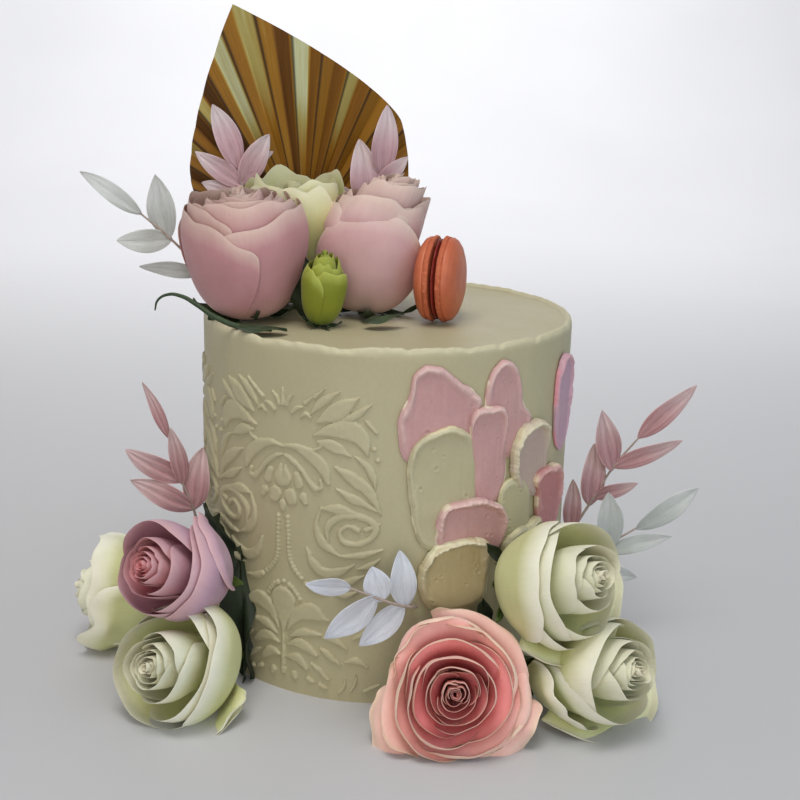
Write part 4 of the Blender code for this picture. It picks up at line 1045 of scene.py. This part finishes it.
def leaf_place(root, heading, face, length, width, fold=0.18, arch=0.06, wave=0.02, blunt=0.85, seed=0):
    """A leaf from its root along heading, its upper side towards face."""
    heading = np.array(heading, float) / np.linalg.norm(heading)
    side = np.cross(heading, face)
    side /= np.linalg.norm(side)
    face = np.cross(side, heading)
    root = np.array(root, float)

    def place(u, v):
        across = u * 2 - 1
        half = width / 2 * np.sin(math.pi * np.clip(v, 0, 1) ** blunt) ** 0.75
        half = np.maximum(half, 0.35 * (1 - v) + 0.05)
        lift = arch * length * np.sin(math.pi * v) - fold * half * (1 - np.abs(across)) ** 1.3
        lift = lift + wave * length * np.sin(v * 7.0 + seed + across * 1.2) * np.abs(across)
        sway = 0.03 * length * np.sin(v * 3.4 + seed)
        points = root + np.outer(v * length, heading) + np.outer(across * half + sway * v, side)
        points = points + np.outer(lift, face)
        return points, {"along": v, "across": across, "tip": ease(v, 0.35, 0.9)}

    return place


def stem_piece(name, path, radii, sides=3):
    """A round stem through points, thinner towards its end."""
    curve = bpy.data.curves.new(name, "CURVE")
    curve.dimensions = "3D"
    curve.bevel_depth = MM
    curve.bevel_resolution = sides
    curve.use_fill_caps = True
    curve.resolution_u = 6
    spline = curve.splines.new("BEZIER")
    spline.bezier_points.add(len(path) - 1)
    for knot, spot, radius in zip(spline.bezier_points, path, radii):
        knot.co = Vector(spot) * MM
        knot.radius = radius
        knot.handle_left_type = knot.handle_right_type = "AUTO"
    item = bpy.data.objects.new(name, curve)
    bpy.context.scene.collection.objects.link(item)
    only(item)
    bpy.ops.object.convert(target="MESH")
    finish_mesh(bpy.context.object, True, 80)
    return bpy.context.object


def along_path(path, share):
    """The point at a share of a path's length."""
    spots = np.array(path, float)
    spans = np.linalg.norm(np.diff(spots, axis=0), axis=1)
    way = np.concatenate([[0], np.cumsum(spans)]) / spans.sum()
    return np.array([np.interp(share, way, spots[:, axis]) for axis in range(3)])


# name, paint of the leaves, slot, stem, leaves as (share of the stem, angle, length, width, forward)
SPRIGS = [
    ("sprig_top_white", "white_leaf", "white_foliage",
     [(-91, 8, 187.6), (-98, -1, 203), (-108, -11, 220), (-118, -15, 231), (-131, -15, 242)],
     [(1.00, 146, 38, 9, 0), (0.74, 100, 35, 15, 4), (0.72, -178, 29, 12, 6), (0.36, 172, 34, 8, 2)]),
    ("sprig_top_pink_left", "blush_leaf", "pink_foliage",
     [(-79, 33, 187.6), (-80, 32, 215), (-79, 32, 240), (-84, 33, 262)],
     [(1.00, 110, 38, 14, 2), (0.88, 59, 33, 13, 2), (0.86, 142, 33, 11, 3), (0.76, 160, 27, 10, 3),
      (0.95, 35, 24, 7, -1)]),
    ("sprig_top_pink_right", "blush_leaf", "pink_foliage",
     [(-8, 33, 187.6), (-14, 31, 215), (-12, 29, 240), (-4, 29, 260)],
     [(1.00, 88, 39, 14, 2), (0.72, 98, 40, 16, -2), (0.92, 42, 24, 9, 2), (0.60, 122, 26, 9, 0)]),
    ("sprig_left_pink", "pink_leaf", "pink_foliage",
     [(-93, -37, 56), (-100, -40, 70), (-103, -42, 88), (-109, -42, 104), (-115, -42, 128)],
     [(1.00, 113, 34, 6, 0), (0.66, 97, 34, 9, 5), (0.68, 147, 35, 12, 4), (0.46, 153, 38, 12, 5),
      (0.46, 80, 35, 14, -3)]),
    ("sprig_front_white", "frost_leaf", "white_foliage",
     [(11.6, -98.6, 59), (13, -110, 63), (4, -119, 68), (-8, -123, 74), (-20, -126, 80)],
     [(1.00, 172, 22, 9, 2), (0.72, -140, 33, 14, 5), (0.42, -136, 30, 12, 6), (0.66, 106, 18, 13, -3),
      (0.38, 98, 29, 13, -4)]),
    ("sprig_right_pink", "pink_leaf", "pink_foliage",
     [(99.2, -12, 55), (107, -12, 68), (116, -11, 83), (128, -10, 104), (141, -10, 121)],
     [(1.00, 47, 44, 11, 0), (0.72, 26, 42, 10, 3), (0.70, 103, 38, 14, 4), (0.46, 24, 27, 8, 4),
      (0.40, 88, 36, 14, -4), (0.16, 91, 31, 10, -5)]),
    ("sprig_right_white", "white_leaf", "white_foliage",
     [(97.0, -24, 38.6), (108, -25, 44), (118, -25, 53), (127, -25, 64), (140, -25, 73)],
     [(1.00, 35, 42, 14, 0), (0.64, 93, 36, 15, 4), (0.60, 12, 40, 9, -3), (0.30, -10, 34, 10, -5)]),
]


def build_sprigs():
    """Each sprig is a stem and its leaves, the leaves turned a little each way."""
    for number, (name, paint, slot, path, leaves) in enumerate(SPRIGS):
        chance = np.random.default_rng(40 + number)
        radii = np.linspace(0.95, 0.5, len(path))
        stem = stem_piece(name + "_stem", path, radii)
        settle(stem, slot, PAINTS["twig"], name)
        blades = []
        for share, degrees, length, width, forward in leaves:
            way = math.radians(degrees)
            heading = (math.cos(way), -forward / length, math.sin(way))
            face = (chance.uniform(-0.35, 0.35), -1.0, chance.uniform(-0.1, 0.35))
            root = along_path(path, share) - np.array(heading) * 1.2
            place = leaf_place(root, heading, face, length, width * 1.08, seed=chance.uniform(0, 6))
            blades.append(draw("leaf", 8, 14, place))
        leaf = joined(name + "_leaves", blades)
        thicken(leaf, 0.5)
        finish_mesh(leaf, False, 80)
        settle(leaf, slot, PAINTS[paint], name)


# Dark ruffled leaves beside the flowers, painted near-black as painted shadow (those by the left roses stand
# in for the shade between the roses and the cake), as (root, heading, length, width)
SHADOW_LEAVES = {
    "bud_top": [((-43, -34, 189), (-0.14, 0.10, 1), 36, 15)],
    "rose_left_pink": [((-84, -63, 48), (-0.10, 0.08, 1), 44, 17), ((-90, -54, 70), (-0.20, 0.1, 1), 26, 12)],
    "rose_left_white": [((-71, -75, 4), (-0.10, 0.12, 1), 74, 15), ((-74, -72, 2), (-0.16, 0.12, 1), 50, 14)],
    "rose_right_upper": [((50, -102, 40), (-0.12, -0.1, 1), 26, 8),
                         ((57, -98, 82), (-0.5, -0.1, 0.6), 14, 6)],
    "rose_front_pink": [((44, -106, 40), (0.8, -0.4, -0.5), 24, 12)],
}


def build_greens():
    """Stalks, cups and sepals under the flowers, and the dark leaves beside them, painted near-black as
    painted shadow.
    """
    for name, _, _, _, foot, way, radius, _, _, _, seed in ROSES:
        chance = np.random.default_rng(seed + 70)
        axes = frame_of(way)
        foot = np.array(foot, float)
        on_top = foot[2] > CAKE_HEIGHT
        green = []

        def cup(u, v, radius=radius, foot=foot, axes=axes):
            turn = u * 2 * math.pi
            out = radius * 0.16 * np.sin(np.clip(v, 0, 1) * math.pi) ** 0.6 + 0.01
            return foot + rows_of(out * np.cos(turn), out * np.sin(turn), v * radius * 0.34) @ axes, {}

        green.append(draw("cup", 16, 8, cup, closed=True))
        for sepal in range(5):
            turn = sepal * math.tau / 5 + chance.uniform(-0.3, 0.3)
            spoke = axes[0] * math.cos(turn) + axes[1] * math.sin(turn)
            lean = chance.uniform(0.12, 0.4) if on_top else chance.uniform(0.0, 0.5)
            heading = spoke + axes[2] * lean
            size = radius * (chance.uniform(0.8, 1.1) if on_top else chance.uniform(0.6, 0.85))
            root = foot + axes[2] * radius * 0.08 + spoke * radius * 0.1
            place = leaf_place(root, heading, axes[2], size, size * 0.3, 0.3, -0.10, 0.06, 0.7, sepal)
            blade = draw("sepal", 4, 8, place)
            thicken(blade, 0.5, 0)
            green.append(blade)
        dark = []
        for root, heading, size, width in SHADOW_LEAVES.get(name, []):
            face = (root[0] / 150, -1, 0.1)
            place = leaf_place(root, heading, face, size, width, 0.4, 0.05, 0.13, 0.8, size)
            dark.append(draw("leaf", 10, 18, place))
        if dark:
            shade = joined(name + "_dark_leaves", dark)
            thicken(shade, 0.6, 0)
            finish_mesh(shade, False, 60)
            # These leaves are painted near-black as painted shadow.
            settle(shade, "dark_green_leaf", PAINTS["shade"], name)
        if not on_top:
            angle = math.atan2(foot[1], foot[0])
            end = np.array([math.cos(angle) * 100.2, math.sin(angle) * 100.2, max(foot[2] - 4, 10)])
            green.append(stem_piece("stalk", [foot + axes[2] * 4, foot, end], [2.4, 2.4, 2.4]))
        item = joined(name + "_green", green)
        finish_mesh(item, False, 60)
        settle(item, "dark_green_leaf", PAINTS["sepal" if on_top else "stalk"], name)


CURL_PATH = [
    (-60, -58, 190.2), (-75, -60, 191.5), (-88, -60, 196.5), (-97, -58, 202), (-105, -56, 206),
    (-112, -55, 206.5), (-117, -55, 203.5), (-118.5, -55, 198.5),
]
CURL_RADII = [1.3, 1.5, 1.4, 1.2, 1.0, 0.8, 0.6, 0.4]
TOP_LEAVES = [
    ("leaf_top_left", (-52, -62, 190.2), -170, 26, 12, 2),
    ("leaf_top_right", (-14, -46, 191.4), 8, 22, 11, 4),
]


def build_top_leaves():
    """The long curled sepal and the leaves that lie on the top of the cake."""
    curl = stem_piece("sepal_curled_strip", CURL_PATH, CURL_RADII, 3)
    settle(curl, "dark_green_leaf", PAINTS["sepal"], "sepal_curled")
    for name, root, degrees, length, width, lift in TOP_LEAVES:
        way = math.radians(degrees)
        heading = (math.cos(way), math.sin(way), lift / length)
        place = leaf_place(root, heading, (0, 0, 1), length, width, -0.25, 0.02, 0.05, 0.8, 1.0)
        blade = draw(name + "_blade", 10, 16, place)
        thicken(blade, 0.6)
        finish_mesh(blade, False, 80)
        settle(blade, "dark_green_leaf", PAINTS["sepal"], name)


# The macaron, on its edge

MACARON_RADIUS = 22.5
MACARON_CENTRE = np.array((26.4, -24.0, TOP + MACARON_RADIUS + 0.4))
MACARON_FILLING = 3.6
MACARON_TURN = -17.0
# How much higher the domes are than the outline below them
DOME_STRETCH = 1.22


def shell_place(centre, axes, seed):
    """A domed shell whose foot is ruffled and stands out a little."""
    track = np.array([
        (0.0, 0.0, 8.6), (0.14, 8.0, 8.45), (0.28, 14.0, 7.7), (0.40, 18.2, 6.4), (0.50, 20.8, 4.9),
        (0.56, 21.8, 3.6), (0.60, 21.9, 2.9), (0.63, 21.5, 2.55), (0.68, 22.1, 2.0), (0.74, 22.4, 1.2),
        (0.80, 22.2, 0.5), (0.84, 21.5, 0.05), (0.88, 20.0, 0.0), (1.0, 0.0, 0.0),
    ])

    def place(u, v):
        turn = u * 2 * math.pi
        radius = np.interp(v, track[:, 0], track[:, 1])
        height = np.interp(v, track[:, 0], track[:, 2])
        foot = ease(v, 0.61, 0.66) * (1 - ease(v, 0.82, 0.87))
        ring = rows_of(np.cos(turn) * 22, np.sin(turn) * 22, height + seed * 9)
        radius = radius + foot * (ripple(ring, 1.7) * 0.55 + ripple(ring, 0.8, 3.0) * 0.25)
        height = height + (1 - foot) * ripple(ring, 12.0) * 0.12
        skin = rows_of(radius * np.cos(turn), radius * np.sin(turn), height * DOME_STRETCH)
        return centre + skin @ axes, {"foot": foot}

    return place


def filling_place(centre, axes):
    """The filling that shows between the shells, a little uneven."""
    def place(u, v):
        turn = u * 2 * math.pi
        height = (0.5 - v) * MACARON_FILLING
        bulge = np.sin(np.clip(v, 0, 1) * math.pi) ** 0.35
        ring = rows_of(np.cos(turn) * 20, np.sin(turn) * 20, height)
        radius = bulge * (21.3 + ripple(ring, 5.0) * 0.5 + ripple(ring, 1.6) * 0.25)
        return centre + rows_of(radius * np.cos(turn), radius * np.sin(turn), height) @ axes, {}

    return place


def build_macaron():
    """Two shells and the filling."""
    turn = math.radians(MACARON_TURN)
    axis = np.array((math.cos(turn), math.sin(turn), 0.0))
    step = MACARON_FILLING / 2
    for name, sign, seed in (("macaron_shell_left", -1, 1), ("macaron_shell_right", 1, 2)):
        axes = frame_of(axis * sign)
        place = shell_place(MACARON_CENTRE + axis * sign * step, axes, seed)
        shell = draw(name + "_baked", 160, 60, place, True, 70)
        settle(shell, "coral_shell", PAINTS["shell"], name)
    cream = draw("macaron_filling_cream", 120, 14, filling_place(MACARON_CENTRE, frame_of(axis)), True, 70)
    settle(cream, "red_filling", PAINTS["filling"], "macaron_filling")


# The palm spear

HUB = np.array((-48.0, 48.0, 221.0))
SPEAR_LENGTH = 134.0
SPEAR_LEAN = math.radians(-17)
SPEAR_SPREAD = math.radians(118)
SPEAR_HALF_WIDTH = (52.0, 72.0)
# As shares of its length: how high above the hub it is widest, and how far it reaches below the hub
SPEAR_WIDEST, SPEAR_BELOW = 0.36, 0.30
SPEAR_FOLDS = 52
# Folds that are paler, partly the dried leaf's own pale streaks and partly painted highlight fading towards
# the hub: degrees from the middle line and how pale
PALE_FOLDS = [(-36, 0.84), (-22, 0.9), (-8, 1.1), (3, 0.95), (16, 1.1), (34, 0.9)]


def spear_reach(way):
    """How far the leaf reaches from its hub at angles from its middle line."""
    side = np.where(way < 0, SPEAR_HALF_WIDTH[0], SPEAR_HALF_WIDTH[1])
    low, high = np.zeros_like(way), np.full_like(way, SPEAR_LENGTH)
    for _ in range(30):
        reach = (low + high) / 2
        along = reach * np.cos(way)
        across = reach * np.abs(np.sin(way))
        share = np.clip(along / SPEAR_LENGTH, -SPEAR_BELOW, 1.0)
        upper = side * (1 - (np.clip(share - SPEAR_WIDEST, 0, 1) / (1 - SPEAR_WIDEST)) ** 1.35)
        below = (SPEAR_WIDEST - share) / (SPEAR_WIDEST + SPEAR_BELOW)
        lower = side * np.sqrt(np.clip(1 - below ** 2, 0, 1))
        inside = (across < np.where(share > SPEAR_WIDEST, upper, lower)) & (share < 1)
        low, high = np.where(inside, reach, low), np.where(inside, high, reach)
    return (low + high) / 2


def spear_place(u, v):
    """The pleated leaf: u runs across the fan of folds, v runs out from the hub."""
    way = (u * 2 - 1) * SPEAR_SPREAD
    fold = u * SPEAR_FOLDS
    part = np.abs((fold % 2) - 1)
    reach = spear_reach(way)
    share = 0.03 + 0.97 * v
    out = reach * share
    turn = way + SPEAR_LEAN
    depth = 3.4 * (part - 0.5) * np.clip(share * 1.6, 0, 1) * (0.7 + 0.3 * np.clip(out / 60, 0, 1.4))
    wobble = 0.5 * ripple(rows_of(u * 60, v * 3, 0 * u), 2.0)
    points = HUB + rows_of(out * np.sin(turn), depth + wobble * share, out * np.cos(turn))
    # On the left of the fan each pleat's rising face is darker than its falling face: painted shade on the
    # faces turned from the light. The rest of the tone varies at random.
    rising = ((fold % 2) < 1).astype(float)
    cell = np.floor(fold)
    luck = np.modf(np.abs(np.sin(cell * 12.9898) * 43758.5453))[0]
    right = ease(way, 0.1, 0.7)
    tone = np.where(rising > 0, 0.08 + 0.20 * luck + 0.34 * right, 0.46 + 0.20 * luck)
    # Pale folds: partly the leaf's own pale streaks, partly painted highlight that fades towards the hub.
    for degrees, shine in PALE_FOLDS:
        middle = (math.radians(degrees) / SPEAR_SPREAD + 1) / 2 * SPEAR_FOLDS
        faded = shine * (0.62 + 0.38 * ease(share + 0.12 * luck, 0.45, 0.85))
        tone = np.where(cell == np.floor(middle), faded, tone)
    # The crease mark carries painted shadow along the folds.
    return points, {"along": out / 100, "across": u, "tone": tone, "painted_crease_shadow": np.clip(1 - part * 4, 0, 1)}


def build_palm():
    """The fan of pleats and its stalk."""
    fan = draw("palm_spear_fan", SPEAR_FOLDS * 4, 26, spear_place)
    thicken(fan, 0.5, 0)
    finish_mesh(fan, False, 20)
    settle(fan, "dried_palm", PAINTS["palm"], "palm_spear")
    head = HUB + np.array((math.sin(SPEAR_LEAN), 0.0, math.cos(SPEAR_LEAN))) * 12
    stalk = stem_piece("palm_spear_stalk", [(HUB[0] + 4, HUB[1], TOP), HUB, head], [2.2, 2.1, 1.0], 4)
    settle(stalk, "dried_palm", PAINTS["twig"], "palm_spear")


# Floor, lights and camera


def sweep_place(u, v):
    """A pale floor that rises behind the cake in a wide curve."""
    track = np.array([
        (-4000, 0), (1500, 0), (2000, 60), (2500, 300), (2900, 800), (3100, 1600), (3150, 5000),
    ])
    share = np.linspace(0, 1, len(track))
    return rows_of((u - 0.5) * 12000, np.interp(v, share, track[:, 0]), np.interp(v, share, track[:, 1])), {}


def build_stage():
    """A plain pale floor."""
    floor = draw("floor", 2, 6, sweep_place)
    apply_modifier(floor, "rounding", "SUBSURF", levels=3, render_levels=3)
    finish_mesh(floor, False, 80)
    floor.data.materials.append(PAINTS["floor"])


def add_light(name, place, aim, size, power, colour):
    """A square soft light at a place in millimetres, looking at a point."""
    light = bpy.data.lights.new(name, "AREA")
    light.shape = "SQUARE"
    light.size = size
    light.energy = power
    light.color = colour
    item = bpy.data.objects.new(name, light)
    spot, target = Vector(place) * MM, Vector(aim) * MM
    turned = (target - spot).to_track_quat("-Z", "Y").to_matrix().to_4x4()
    item.matrix_world = Matrix.Translation(spot) @ turned
    bpy.context.scene.collection.objects.link(item)


def build_lights():
    """Soft studio light: overhead, cool from the right, warm from the front, and on the backdrop."""
    add_light("overhead", (-120, -430, 1300), (0, 0, 100), 0.6, 7.6, (1.0, 0.98, 0.94))
    add_light("window_right", (1100, -900, 600), (0, 0, 110), 0.9, 3.0, (0.42, 0.74, 1.0))
    add_light("front", (-60, -1400, 200), (-40, 0, 40), 1.0, 6.8, (1.0, 0.95, 0.84))
    add_light("backdrop", (0, 1500, 1900), (0, 2900, 700), 2.0, 60.0, (1.0, 1.0, 1.0))
    world = bpy.data.worlds.new("studio")
    world.use_nodes = True
    back = world.node_tree.nodes["Background"]
    back.inputs["Color"].default_value = (1.0, 1.0, 1.0, 1.0)
    back.inputs["Strength"].default_value = 0.42
    bpy.context.scene.world = world


def build_camera():
    """The photograph's view."""
    down, right, roll = (math.radians(value) for value in (CAMERA_DOWN, CAMERA_RIGHT, CAMERA_ROLL))
    look = Vector((math.sin(right) * math.cos(down), math.cos(right) * math.cos(down), -math.sin(down)))
    level = Vector((math.cos(right), -math.sin(right), 0))
    upright = level.cross(look)
    across = level * math.cos(roll) + upright * math.sin(roll)
    upward = upright * math.cos(roll) - level * math.sin(roll)
    camera = bpy.data.cameras.new("camera")
    camera.lens = CAMERA_LENS
    camera.sensor_width = SENSOR
    camera.clip_start, camera.clip_end = 0.01, 20
    item = bpy.data.objects.new("camera", camera)
    place = Vector(CAMERA_PLACE) * MM
    item.matrix_world = Matrix((
        (across[0], upward[0], -look[0], place[0]),
        (across[1], upward[1], -look[1], place[1]),
        (across[2], upward[2], -look[2], place[2]),
        (0, 0, 0, 1),
    ))
    bpy.context.scene.collection.objects.link(item)
    bpy.context.scene.camera = item


def main():
    """Make every piece, then the stage, the lights and the camera."""
    build_cake()
    build_pattern()
    build_strokes()
    build_roses()
    build_greens()
    build_sprigs()
    build_top_leaves()
    build_macaron()
    build_palm()
    build_stage()
    build_lights()
    build_camera()
    bpy.context.scene.view_settings.view_transform = "Standard"


main()
